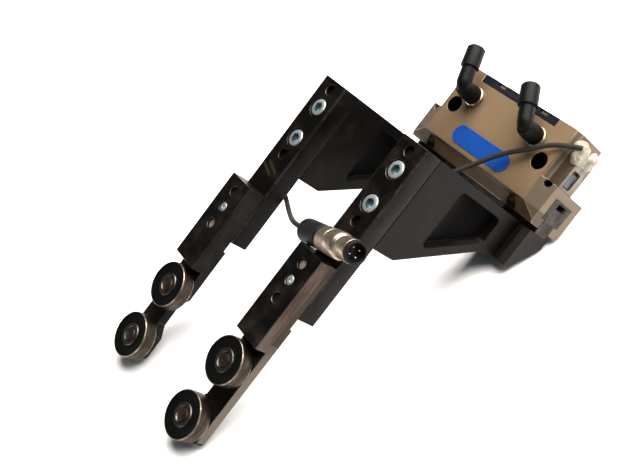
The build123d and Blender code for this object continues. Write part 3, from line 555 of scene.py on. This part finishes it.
def along(start, way):
    """Matrix that takes the Z axis at the origin to a start point and a direction."""
    return Matrix.Translation(start) @ Vector(way).to_track_quat("Z", "Y").to_matrix().to_4x4()


def applied(piece, kind, **settings):
    """Add one modifier, set it and apply it."""
    step = piece.modifiers.new(kind.lower(), kind)
    for key, value in settings.items():
        setattr(step, key, value)
    only(piece)
    bpy.ops.object.modifier_apply(modifier=step.name)


def turned(name, rings, start, way, steps=48, closed=True):
    """Turn a piece from (height, radius) rings in millimetres, set along way from start."""
    height, radius = rings[0]
    bpy.ops.object.select_all(action="DESELECT")
    bpy.ops.mesh.primitive_circle_add(vertices=steps, radius=radius * MM,
                                      location=(0, 0, height * MM))
    piece = bpy.context.object
    piece.name = name
    bpy.ops.object.mode_set(mode="EDIT")
    bpy.ops.mesh.select_all(action="SELECT")
    if closed:
        bpy.ops.mesh.edge_face_add()
    for next_height, next_radius in rings[1:]:
        rise = (0, 0, (next_height - height) * MM)
        bpy.ops.mesh.extrude_edges_move(TRANSFORM_OT_translate={"value": rise})
        size = next_radius / radius
        bpy.ops.transform.resize(value=(size, size, 1), center_override=(0, 0, 0))
        height, radius = next_height, next_radius
    if closed:
        bpy.ops.mesh.edge_face_add()
    bpy.ops.mesh.select_all(action="SELECT")
    bpy.ops.mesh.remove_doubles(threshold=RING_GAP)
    bpy.ops.mesh.normals_make_consistent(inside=False)
    bpy.ops.object.mode_set(mode="OBJECT")
    settle(piece, along(start, way))
    smooth(piece)
    return piece


def copied(piece, name, shift):
    """A copy with its own mesh, moved by a vector."""
    twin = linked(name, piece.data.copy())
    twin.data.transform(Matrix.Translation(shift))
    return twin


def joined(name, *pieces):
    """Join several pieces into the first."""
    only(pieces[0])
    for piece in pieces[1:]:
        piece.select_set(True)
    bpy.ops.object.join()
    pieces[0].name = name
    return pieces[0]


def seat(piece, body, slot, finishes, *stood_for):
    """Give a piece its finishes and its body, and hide the CAD nodes that it stands for; its
    slot is not used.
    """
    piece.data.materials.clear()
    for finish in finishes:
        piece.data.materials.append(finish.material)
    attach(piece, body)
    if stood_for:
        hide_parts(*stood_for)


BODY_OF = {node: body for body, members in frame["record"]["behaviour"]["bodies"].items()
           for node in members}


def cad_copy(name, node, whole_faces=False):
    """A copy of a CAD node with its points merged, and its flat faces made whole if asked."""
    piece = linked(name, nodes[node].data.copy())
    only(piece)
    piece.data.materials.clear()
    bpy.ops.object.mode_set(mode="EDIT")
    bpy.ops.mesh.select_all(action="SELECT")
    bpy.ops.mesh.remove_doubles(threshold=MERGE_GAP)
    if whole_faces:
        bpy.ops.mesh.dissolve_limited(angle_limit=FLAT_ANGLE)
    bpy.ops.object.mode_set(mode="OBJECT")
    return piece


def broken_edges(node, width, face, edge, slot):
    """Stand a copy of a CAD node in its place, with its sharp edges broken by a small bevel."""
    piece = cad_copy(node + "_body", node, whole_faces=True)
    seat(piece, BODY_OF[node], slot, (face, edge), node)
    applied(piece, "BEVEL", width=width * MM, segments=1, limit_method="ANGLE",
            angle_limit=EDGE_ANGLE, use_clamp_overlap=False, material=1)
    smooth(piece, 28)
    return piece


def painted(piece, finish, chosen):
    """Give a finish of their own to the faces of a piece that a test chooses."""
    piece.data.materials.append(finish.material)
    for face in piece.data.polygons:
        if chosen(piece.data, face):
            face.material_index = len(piece.data.materials) - 1


# %% [markdown]
# ## Milled pieces
# The housing, jaws, brackets, bars, arms and small blocks are milled, and a mill leaves edges
# that are broken with a file. The real chamfers are about a quarter of a millimetre, and they
# catch the light as a thin line, which is what makes a machined part look machined. Two
# pieces get a third finish: a painted black shadow on the walls of the housing's fixing holes,
# and a painted dark brown shade on the front faces of the sensor block.

# %% Break the edges of the milled pieces
LOOKS_FORWARD = -0.4
WALL_REACH = 5.6 * MM
WALL_Y = (LABEL_FACE_Y + 0.5 * MM, 18.5 * MM)
EDGE, FINE_EDGE, STRIP_EDGE, LABEL_EDGE = 0.25, 0.2, 0.15, 0.1


def in_fixing_hole(mesh, face):
    """True for a face that lies wholly inside a fixing hole."""
    points = [mesh.vertices[index].co for index in face.vertices] + [face.center]
    reach = max(math.hypot(abs(point.x) - HOLE_X, point.z - HOLE_Z) for point in points)
    return WALL_Y[0] < face.center.y < WALL_Y[1] and reach < WALL_REACH


block = broken_edges("housing", EDGE, bronze, bronze_edge, "anodised_housing")
# Painted shadow: the walls of the fixing holes get the black finish.
painted(block, hole_shadow_black, in_fixing_hole)
satin = steels["satin_aluminium"]
block = broken_edges("sensor_block", FINE_EDGE, satin, satin, "satin_aluminium")
# Painted shade: the sensor block's front faces turn dark brown.
painted(block, block_front_shade, lambda mesh, face: face.normal.y < LOOKS_FORWARD)
broken_edges("cover_strip", STRIP_EDGE, strip_plastic, strip_plastic, "cover_plastic")
broken_edges("label_plate", LABEL_EDGE, film, film, "blue_label")
for side, bar_face, arm_face in zip(SIDES, (black, black_inked), (black_arm_bare, black_arm)):
    for node, width, face, edge, slot in (
        ("base_jaw_", FINE_EDGE, steels["jaw_steel"], steels["jaw_steel"], "hardened_steel"),
        ("bracket_", EDGE, black_web, web_edge, "blackened_metal"),
        ("finger_bar_", FINE_EDGE, bar_face, black_edge, "blackened_metal"),
        ("roller_arm_", EDGE, arm_face, black_edge, "blackened_metal"),
    ):
        broken_edges(node + side, width, face, edge, slot)
print("milled pieces done")

# %% [markdown]
# ## Rollers
# Each roller is a sealed ball bearing on a pin. The outer ring has rounded rims, which are
# polished outside and near black inside. A rubber shield closes each side, with a step and a
# thin lip by the hub. The hub stands proud and is chamfered at both rims, and the pin's end has
# a centre mark. One model of each is turned, copied to the four places and then removed.

# %% Turn one roller and copy it
ROLLER_WIDTH = 8.0
TYRE = [(0.9, 11.75), (0.15, 11.8), (0.0, 11.95), (0.0, 12.4), (0.1, 12.7), (0.35, 12.9),
        (0.8, 13.0), (7.2, 13.0), (7.65, 12.9), (7.9, 12.7), (8.0, 12.4), (8.0, 11.95),
        (7.85, 11.8), (7.1, 11.75), (7.1, 11.3), (0.9, 11.3), (0.9, 11.75)]
SHIELD = [(0.45, 11.7), (0.45, 10.5), (0.6, 10.2), (0.6, 7.6), (0.4, 7.3), (0.4, 6.75),
          (1.0, 6.6), (1.4, 7.0), (1.4, 11.3), (0.9, 11.7), (0.45, 11.7)]
HUB = [(0.0, 4.3), (0.0, 6.1), (0.4, 6.5), (7.6, 6.5), (8.0, 6.1), (8.0, 4.4), (7.4, 3.85),
       (0.6, 3.85), (0.0, 4.3)]
PIN_END = [(0.0, 3.75), (13.2, 3.75), (13.8, 3.4), (14.0, 3.0), (14.0, 0.8), (13.8, 0.5),
           (13.7, 0.1)]
SHOULDER = [(0.0, 3.9), (0.0, 6.4), (0.35, 6.4), (0.35, 3.9), (0.0, 3.9)]
SHOULDER_SET_BACK = 0.4 * MM
TREAD_HALF = 3.2 * MM
RIM_BLACK_RADIUS = 12.5 * MM


def back_of(node):
    """Middle of a round CAD node's back face, for pieces whose axis runs along Y."""
    low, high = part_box(node)
    return Vector(((low.x + high.x) / 2, high.y, (low.z + high.z) / 2))


first = back_of("roller_ring_near_upper")
pin_foot = back_of("roller_pin_near_upper")
tyre = turned("tyre_model", TYRE, first, OUT, 96, closed=False)
front = [(ROLLER_WIDTH - height, radius) for height, radius in SHIELD]
shields = joined("shield_model",
                 turned("shield_front", front, first, OUT, 72, closed=False),
                 turned("shield_back", SHIELD, first, OUT, 72, closed=False))
hub = turned("hub_model", HUB, first, OUT, 64, closed=False)
pin = turned("pin_model", PIN_END, pin_foot, OUT, 48)
washer = turned("washer", SHOULDER, first - OUT * SHOULDER_SET_BACK, OUT, 48, closed=False)
pin = joined("pin_model", pin, washer)
for side, tip in ((side, tip) for side in SIDES for tip in ("upper", "lower")):
    place = side + "_" + tip
    shift = back_of("roller_ring_" + place) - first
    middle = first + shift + OUT * ROLLER_WIDTH / 2 * MM
    for model, piece, body, slot, finishes, node in (
        (tyre, "tyre_", "roller_" + place, "bearing_steel",
         [steels["roller_steel"], steels["roller_rim_steel"], rim_face_black], "roller_ring_"),
        (shields, "shields_", "roller_" + place, "black_rubber", [shield_rubber],
         "roller_seals_"),
        (hub, "hub_", side + "_finger", "bearing_steel", [steels["hub_steel"]], "roller_hub_"),
        (pin, "pin_", side + "_finger", "hardened_steel", [steels["pin_steel"]],
         "roller_pin_"),
    ):
        seat(copied(model, piece + place, shift), body, slot, finishes, node + place)
    # The sides of the outer ring: polished rim outside a radius, near black inside it.
    for face in bpy.data.objects["tyre_" + place].data.polygons:
        off = face.center - middle
        if abs(off.y) > TREAD_HALF:
            face.material_index = 1 if math.hypot(off.x, off.z) > RIM_BLACK_RADIUS else 2
for model in (tyre, shields, hub, pin):
    bpy.data.objects.remove(model)
print("rollers done")

# %% [markdown]
# ## Socket screws
# The bars are held by socket cap screws in counterbores. A cap has a rolled rim and a
# hexagonal socket with a drilled bottom. The socket is cut with a Boolean of a six-sided
# primitive, because that is how the real one is punched. The arms' studs are smaller and have
# the same kind of socket.

# %% Make one cap screw and the studs
CAP = [(0.0, 4.75), (0.3, 5.0), (5.0, 5.0), (5.55, 4.85), (5.9, 4.5), (6.0, 4.1)]
CAP_HEIGHT = 6 * MM
CAP_SOCKET = 2.9
CAP_SOCKET_DEPTH = 3.0
CAP_Z = (-73.0 * MM, -93.5 * MM)
HEAD_SIDES = 72
STUD = [(0.0, 2.7), (2.0, 2.7), (2.6, 2.45), (2.8, 2.1)]
STUD_HEIGHT = 2.8 * MM
STUD_SOCKET = 1.45
STUD_SOCKET_DEPTH = 1.6
DRILL_INSET, DRILL_DEPTH, DRILL_TIP = 0.25, 0.4, 0.15
LOOKS_DOWN, LOOKS_LEVEL = -0.9, 0.95


def punched(piece, at, way, corner_radius, depth):
    """Punch a hexagonal socket with a conical floor into a head."""
    bpy.ops.object.select_all(action="DESELECT")
    bpy.ops.mesh.primitive_cylinder_add(vertices=6, radius=corner_radius * MM,
                                        depth=2 * depth * MM)
    cutter = bpy.context.object
    bpy.ops.object.mode_set(mode="EDIT")
    bpy.ops.mesh.select_all(action="DESELECT")
    bpy.ops.object.mode_set(mode="OBJECT")
    for face in cutter.data.polygons:
        face.select = face.normal.z < LOOKS_DOWN
    bpy.ops.object.mode_set(mode="EDIT")
    bpy.ops.mesh.select_mode(type="FACE")
    bpy.ops.mesh.inset(thickness=DRILL_INSET * corner_radius * MM)
    sink = (0, 0, -DRILL_DEPTH * corner_radius * MM)
    bpy.ops.mesh.extrude_region_move(TRANSFORM_OT_translate={"value": sink})
    bpy.ops.transform.resize(value=(DRILL_TIP, DRILL_TIP, 1), center_override=(0, 0, 0))
    bpy.ops.mesh.select_mode(type="VERT")
    bpy.ops.object.mode_set(mode="OBJECT")
    settle(cutter, along(at, way))
    applied(piece, "BOOLEAN", operation="DIFFERENCE", object=cutter)
    bpy.data.objects.remove(cutter)
    smooth(piece)


low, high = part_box("bar_screws_near")
screw_x, screw_top_y = (low.x + high.x) / 2, low.y
cap_foot = Vector((screw_x, screw_top_y + CAP_HEIGHT, CAP_Z[0]))
cap = turned("cap_model", CAP, cap_foot, OUT, HEAD_SIDES)
punched(cap, cap_foot + OUT * CAP_HEIGHT, OUT, CAP_SOCKET, CAP_SOCKET_DEPTH)
for side, bar_x in zip(SIDES, (screw_x, -screw_x)):
    shifts = [Vector((bar_x - screw_x, 0, height - CAP_Z[0])) for height in CAP_Z]
    pair = joined("caps_" + side, *[copied(cap, "cap", shift) for shift in shifts])
    smooth(pair)
    seat(pair, side + "_finger", "zinc_steel", [steels["zinc_plate"], steels["socket_painted_reflection"]],
         "bar_screws_" + side)
    # Faces in the sockets get the painted teal reflection.
    for face in pair.data.polygons:
        spot = face.center
        spoke = min(math.hypot(spot.x - bar_x, spot.z - height) for height in CAP_Z)
        in_socket = spot.y > screw_top_y + 0.2 * MM and spoke < CAP_SOCKET * MM
        face.material_index = int(in_socket and abs(face.normal.y) < LOOKS_LEVEL)
bpy.data.objects.remove(cap)

for side in SIDES:
    low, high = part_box("arm_stud_" + side)
    foot = Vector(((low.x + high.x) / 2, low.y + STUD_HEIGHT, (low.z + high.z) / 2))
    stud = turned("stud_" + side, STUD, foot, OUT, 48)
    punched(stud, foot + OUT * STUD_HEIGHT, OUT, STUD_SOCKET, STUD_SOCKET_DEPTH)
    seat(stud, side + "_finger", "zinc_steel", [steels["zinc_plate"]], "arm_stud_" + side)
print("screws done")

# %% [markdown]
# ## Push-in air fittings
# Each fitting is a moulded elbow that swivels on a nickel collar. Its body has no sharp inner
# corners, so a barrel and a bent tube are joined, remeshed into one skin and smoothed,
# which leaves the soft fillets of a moulding. The outlet barrel stays crisp, and its release
# ring is a separate piece, because a finger pushes it in to free the tube.

# %% Mould the two elbows
ELBOW_REACH = 15.0 * MM
KNEE_START, KNEE_RUN = 3 * MM, 13.4 * MM
KNEE_BEND, KNEE_RADIUS = 3.4 * MM, 4.35 * MM
ARC_STEPS = 10
SKIN_VOXEL = 0.3 * MM
OUTLET_TURN = {"near": 34.0, "far": 22.0}
BARREL = [(2.65, 5.1), (2.9, 5.5), (4.6, 5.5), (4.8, 5.3), (5.3, 5.3), (5.6, 5.5),
          (10.5, 5.45), (13.2, 5.1), (15.2, 4.4)]
OUTLET = [(11.2, 4.2), (11.4, 5.1), (11.9, 5.5), (17.6, 5.5), (17.9, 5.42), (23.2, 5.42),
          (23.8, 5.1), (24.0, 4.7), (24.0, 4.35), (21.1, 4.3), (21.1, 3.1), (14.5, 3.05)]
RELEASE = [(21.7, 3.1), (21.7, 4.2), (24.0, 4.2), (24.6, 4.15), (24.75, 3.9), (24.75, 3.4),
           (24.5, 3.1), (21.7, 3.1)]


def bent_tube(start, corner, end, bend, radius):
    """A tube with a round bend at its square corner."""
    before, after = (start - corner).normalized(), (end - corner).normalized()
    hub_point = corner + (before + after) * bend
    angles = [k * math.pi / (2 * ARC_STEPS) for k in range(ARC_STEPS + 1)]
    arc = [hub_point - after * bend * math.cos(a) - before * bend * math.sin(a) for a in angles]
    data = bpy.data.curves.new("bend", "CURVE")
    data.dimensions = "3D"
    data.bevel_depth = radius
    data.bevel_resolution = 6
    data.use_fill_caps = True
    run = data.splines.new("POLY")
    run.points.add(len(arc) + 1)
    for point, at in zip(run.points, [start, *arc, end]):
        point.co = (*at, 1)
    only(linked("bend", data))
    bpy.ops.object.convert(target="MESH")
    return bpy.context.object


for side, hand in zip(SIDES, (1, -1)):
    turn = math.radians(OUTLET_TURN[side])
    way = Vector((-math.sin(turn), 0, math.cos(turn)))
    port = Vector((hand * PORT_X, LABEL_FACE_Y, PORT_Z))
    middle = port + OUT * ELBOW_REACH
    barrel = turned("barrel", BARREL, port, OUT, 48)
    knee = bent_tube(port + OUT * KNEE_START, middle, middle + way * KNEE_RUN, KNEE_BEND,
                     KNEE_RADIUS)
    skin = joined("elbow_" + side, barrel, knee)
    applied(skin, "REMESH", mode="VOXEL", voxel_size=SKIN_VOXEL)
    applied(skin, "SMOOTH", factor=0.5, iterations=3)
    outlet = turned("outlet", OUTLET, middle, way, 64)
    elbow = joined("elbow_" + side, skin, outlet)
    smooth(elbow, 35)
    seat(elbow, "elbow_" + side, "black_plastic", [fitting_plastic], "fitting_elbow_" + side)
    ring = turned("release_" + side, RELEASE, middle, way, 48, closed=False)
    seat(ring, "ring_" + side, "black_plastic", [fitting_plastic], "release_ring_" + side)
print("fittings done")

# %% [markdown]
# ## Round plug
# The sensor's cable ends in a small round plug. From the cable it has a black grip, a nickel
# nut in two bands with a groove between them, a smooth sleeve with a narrow groove, and an
# insert that stands out of the sleeve with four contacts sunk in it. The knurl of the nut is
# pinched into every second line of points, which is cheaper than a cut groove and looks the
# same at this size. Grip and nut meet where the photograph shows it, which is nearer to the
# contacts than in the CAD model.

# %% Turn the plug
PLUG_TAIL = Vector((16.5, -105.6, -124.4)) * MM
PLUG_WAY = Vector((0.937, -0.278, 0.213)).normalized()
GRIP = [(0.0, 1.9), (0.1, 3.6), (0.5, 4.6), (1.2, 5.5), (2.2, 6.15), (3.0, 6.38), (20.2, 6.38),
        (20.5, 6.1), (21.1, 6.1), (21.4, 6.38), (22.6, 6.3), (22.8, 6.0)]
NUT = [(22.9, 6.05), (22.9, 6.4), (23.2, 6.6), (30.8, 6.65), (31.0, 6.45), (31.5, 6.45),
       (31.8, 6.8), (39.2, 6.9), (40.1, 6.8), (40.8, 6.45), (41.2, 6.2), (41.3, 6.05),
       (22.9, 6.05)]
SLEEVE = [(23.1, 5.98), (42.2, 5.98), (42.4, 5.7), (43.1, 5.7), (43.3, 5.98), (51.9, 5.98),
          (52.2, 5.8), (52.2, 5.52), (47.5, 5.52)]
INSERT = [(47.0, 5.45), (52.3, 5.45), (52.3, 5.9), (54.3, 5.9), (54.7, 5.65), (54.8, 5.3),
          (54.8, 4.9), (54.5, 4.65), (50.2, 4.58), (50.0, 4.3), (50.0, 0.1)]
CONTACT = [(49.5, 0.5), (52.4, 0.5), (52.8, 0.38), (53.0, 0.15)]
CONTACT_CIRCLE = 2.6 * MM
NUT_STEPS = 96
KNURL = (23.4 * MM, 39.1 * MM)
KNURL_RADIUS, KNURL_PINCH = 6.5 * MM, 0.99
grip = turned("plug_grip_body", GRIP, PLUG_TAIL, PLUG_WAY, 56)
nut = turned("plug_nut_body", NUT, PLUG_TAIL, PLUG_WAY, NUT_STEPS, closed=False)
across = PLUG_WAY.orthogonal().normalized()
for point in nut.data.vertices:
    reach = (point.co - PLUG_TAIL).dot(PLUG_WAY)
    axis_point = PLUG_TAIL + PLUG_WAY * reach
    spoke = point.co - axis_point
    angle = math.atan2(spoke.dot(PLUG_WAY.cross(across)), spoke.dot(across))
    in_band = KNURL[0] < reach < KNURL[1] and spoke.length > KNURL_RADIUS
    if in_band and round(angle / math.tau * NUT_STEPS) % 2:
        point.co = axis_point + spoke * KNURL_PINCH
sleeve = turned("plug_sleeve_body", SLEEVE, PLUG_TAIL, PLUG_WAY, 72)
insert = turned("plug_face", INSERT, PLUG_TAIL, PLUG_WAY, 48)
contacts = []
for corner in range(4):
    turn = math.radians(45 + 90 * corner)
    off = Vector((math.cos(turn), math.sin(turn), 0)) * CONTACT_CIRCLE
    contact = turned("contact", CONTACT, (0, 0, 0), (0, 0, 1), 16)
    settle(contact, along(PLUG_TAIL, PLUG_WAY) @ Matrix.Translation(off))
    contacts.append(contact)
contacts = joined("plug_contacts", *contacts)
smooth(contacts)
seat(grip, "near_finger", "black_plastic", [grip_plastic], "plug_grip")
seat(nut, "plug_nut", "nickel_plate", [steels["nickel_plate"]], "plug_nut")
smooth(nut, 40)
seat(sleeve, "near_finger", "nickel_plate", [steels["nickel_plate"]], "plug_sleeve")
seat(insert, "near_finger", "black_plastic", [grip_plastic], "plug_insert")
seat(contacts, "near_finger", "nickel_plate", [steels["contact_metal"]])
print("plug done")

# %% [markdown]
# ## Sealant drop
# A drop of sealant was pressed round the cable where it leaves the sensor. The CAD lump has
# the right bulk, but it is made of plain balls. A copy of it is joined with one more ball,
# which stands out of the solid toward the cable, and then it is remeshed, pushed about by a
# cloud texture and smoothed.

# %% Press the sealant into shape
BALL_AT = (52.6 * MM, -11.5 * MM, -11.3 * MM)
BALL_RADIUS, BALL_STRETCH = 5.6 * MM, (0.85, 1.35, 1.0)
drop = cad_copy("sealant_drop", "sealing_lump")
bpy.ops.object.select_all(action="DESELECT")
bpy.ops.mesh.primitive_uv_sphere_add(segments=32, ring_count=16, radius=BALL_RADIUS,
                                     location=BALL_AT, scale=BALL_STRETCH)
ball = bpy.context.object
settle(ball, Matrix.Identity(4))
drop = joined("sealant_drop", drop, ball)
clouds = bpy.data.textures.new("pressed", "CLOUDS")
clouds.noise_scale = 4.2 * MM
applied(drop, "REMESH", mode="VOXEL", voxel_size=SKIN_VOXEL)
applied(drop, "DISPLACE", texture=clouds, strength=1.5 * MM, mid_level=0.8)
applied(drop, "SMOOTH", factor=0.5, iterations=9)
smooth(drop, 60)
seat(drop, "housing", "clear_sealant", [sealant], "sealing_lump")

# %% [markdown]
# ## Sensor cable
# The cable is a thin, limp lead with a fixed length. It leaves the sealant, crosses the label
# face, drops between the brackets, passes under the far web and behind the far bar and ends
# in the plug. Its line is a NURBS spline through a few control points, because a
# real lead has no straight runs. It keeps clear of where the far finger goes when the jaws
# close. It is made a tube at the end.

# %% Lay the cable
PLUG_LEAD_IN = 14
CABLE_POINTS = [
    (54.5, -18.0, -6.8), (43.0, -22.2, -11.6), (31.2, -24.0, -22.9), (18.5, -25.6, -34.1),
    (8.6, -28.8, -50.5), (5.2, -30.7, -56.3), (-3.0, -32.0, -68.0), (-11.4, -31.0, -81.5),
    (-23.5, -30.0, -94.4), (-38.0, -31.0, -95.0), (-51.2, -38.0, -94.5), (-51.5, -52.0, -98.0),
    (-51.5, -67.0, -106.0), (-49.2, -80.0, -114.0), (-41.0, -86.0, -120.0),
    (-31.3, -86.0, -123.8), (-18.4, -88.1, -128.6),
    tuple((PLUG_TAIL - PLUG_WAY * PLUG_LEAD_IN * MM) / MM), tuple(PLUG_TAIL / MM),
]
CABLE_DIAMETER = 2.8
curve = bpy.data.curves.new("sensor_lead", "CURVE")
curve.dimensions = "3D"
curve.resolution_u = 12
spline = curve.splines.new("NURBS")
spline.points.add(len(CABLE_POINTS) - 1)
for point, place in zip(spline.points, CABLE_POINTS):
    point.co = (*[c * MM for c in place], 1)
spline.order_u = 3
spline.use_endpoint_u = True
lead = linked("sensor_lead", curve)
route = bpy.data.meshes.new_from_object(lead)
curve.bevel_depth = CABLE_DIAMETER / 2 * MM
curve.bevel_resolution = 5
curve.use_fill_caps = True
only(lead)
bpy.ops.object.convert(target="MESH")
lead = bpy.context.object
smooth(lead, 40)
lead.data.materials.clear()
lead.data.materials.append(jacket.material)
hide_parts("sensor_cable")
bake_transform(lead)

# %% [markdown]
# ## What stays as CAD
# Some nodes already have their final shape: the cover plate, the piston, its seal and the hook
# inside, the sleeves, the dowels, the collars, the sensor's window and the small hidden
# screws. They keep their own meshes and only get a finish.

# %% Finish the nodes that stay
KEPT = {
    "cylinder_cover": bronze, "housing_screws": steels["dark_screw"], "piston": satin,
    "piston_seal": shield_rubber, "wedge_hook": steels["jaw_steel"],
    "sensor_element": steels["sensor_steel"],
}
for side in SIDES:
    KEPT["fitting_collar_" + side] = steels["nickel_plate"]
    KEPT["jaw_screws_" + side] = steels["zinc_plate"]
    KEPT["jaw_sleeves_" + side] = steels["pin_steel"]
    KEPT["bar_dowels_" + side] = black
    KEPT["arm_dowels_" + side] = dowels[side]
for node, finish in KEPT.items():
    nodes[node].data.materials.clear()
    nodes[node].data.materials.append(finish.material)
unseen = [name for name, node in nodes.items() if not node.hide_render and name not in KEPT]
print("CAD nodes with no finish:", unseen)

# %% [markdown]
# ## Floor and light
# The gripper lies on a white table, resting on its arm tips and the back of its housing, so
# the floor is a plane tilted to match. It fades out at its rim and can be looked through from
# below, so that every side can be seen. The light is one broad panel overhead, toward the
# flange, and one small window beside it. The floor glows white, as in the photograph, and the
# black faces that look away from the panel stay black.

# %% Lay the floor
FLOOR_NORMAL = Vector((0, -0.8538, 0.5206)).normalized()
FLOOR_RADIUS = 3.0
FADE_FROM, FADE_TO = 1.6, 2.8
FLOOR_GAP = 0.2 * MM
depth = min(v.co.dot(FLOOR_NORMAL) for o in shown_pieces() if o.type == "MESH"
            for v in o.data.vertices)
centre = (cad_low + cad_high) / 2
floor_point = centre + FLOOR_NORMAL * (depth - FLOOR_GAP - centre.dot(FLOOR_NORMAL))
bpy.ops.object.select_all(action="DESELECT")
bpy.ops.mesh.primitive_circle_add(vertices=96, radius=FLOOR_RADIUS, fill_type="NGON")
floor = bpy.context.object
floor.name = "floor"
floor.matrix_world = along(floor_point, FLOOR_NORMAL)
paper = plain("pale_floor", (0.88, 0.88, 0.89), Roughness=0.75)
paper_x, paper_y = paper.xyz()[:2]
fade = paper.ease((paper_x * paper_x + paper_y * paper_y) ** 0.5, FADE_FROM, FADE_TO)
under = paper.node("NewGeometry", None, None, "Backfacing")
clear = paper.node("BsdfTransparent")
either = fade.maths("MAXIMUM", fade, under)
shown = paper.node("MixShader", None, {0: either, 1: Wire(paper, paper.shader.outputs[0]),
                                       2: clear})
paper.tree.links.new(shown.socket, paper.tree.nodes["Material Output"].inputs["Surface"])
floor.data.materials.append(paper.material)
floor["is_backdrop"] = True
print("floor plane", round(depth / MM, 2), "mm along its normal")

# %% Hang the lights
OVERHEAD = Vector((0.06, -0.52, 0.85))
WINDOW = Vector((0.7, -0.1, 0.7))
ROOM_LIGHT, BACKDROP_LIGHT = 0.12, 1.0


def softbox(name, way, distance, size, power, colour):
    """A square panel that looks at the middle of the object."""
    data = bpy.data.lights.new(name, "AREA")
    data.size = size
    data.energy = power
    data.color = colour
    lamp = linked(name, data)
    lamp.matrix_world = along(centre + way.normalized() * distance, way)


softbox("ceiling_panel", OVERHEAD, distance=1.6, size=1.9, power=122, colour=(1.0, 0.96, 0.90))
softbox("side_window", WINDOW, distance=1.5, size=0.6, power=5, colour=(1.0, 0.97, 0.93))
world = bpy.data.worlds.new("studio")
bpy.context.scene.world = world
world.use_nodes = True
sky = world.node_tree
room = sky.nodes["Background"]
backdrop = sky.nodes.new("ShaderNodeBackground")
for light, colour, strength in ((room, rgb(0.90, 0.95, 1.0), ROOM_LIGHT),
                                (backdrop, rgb(1.0, 1.0, 1.0), BACKDROP_LIGHT)):
    light.inputs["Color"].default_value = colour
    light.inputs["Strength"].default_value = strength
seen = sky.nodes.new("ShaderNodeLightPath")
choose = sky.nodes.new("ShaderNodeMixShader")
sky.links.new(seen.outputs["Is Camera Ray"], choose.inputs[0])
sky.links.new(room.outputs[0], choose.inputs[1])
sky.links.new(backdrop.outputs[0], choose.inputs[2])
sky.links.new(choose.outputs[0], sky.nodes["World Output"].inputs["Surface"])
bpy.context.scene.view_settings.view_transform = "Standard"

# %% Write both sizes and close the lesson
low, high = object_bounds()
print("visual box in mm", [round((b - a) / MM, 1) for a, b in zip(low, high)])
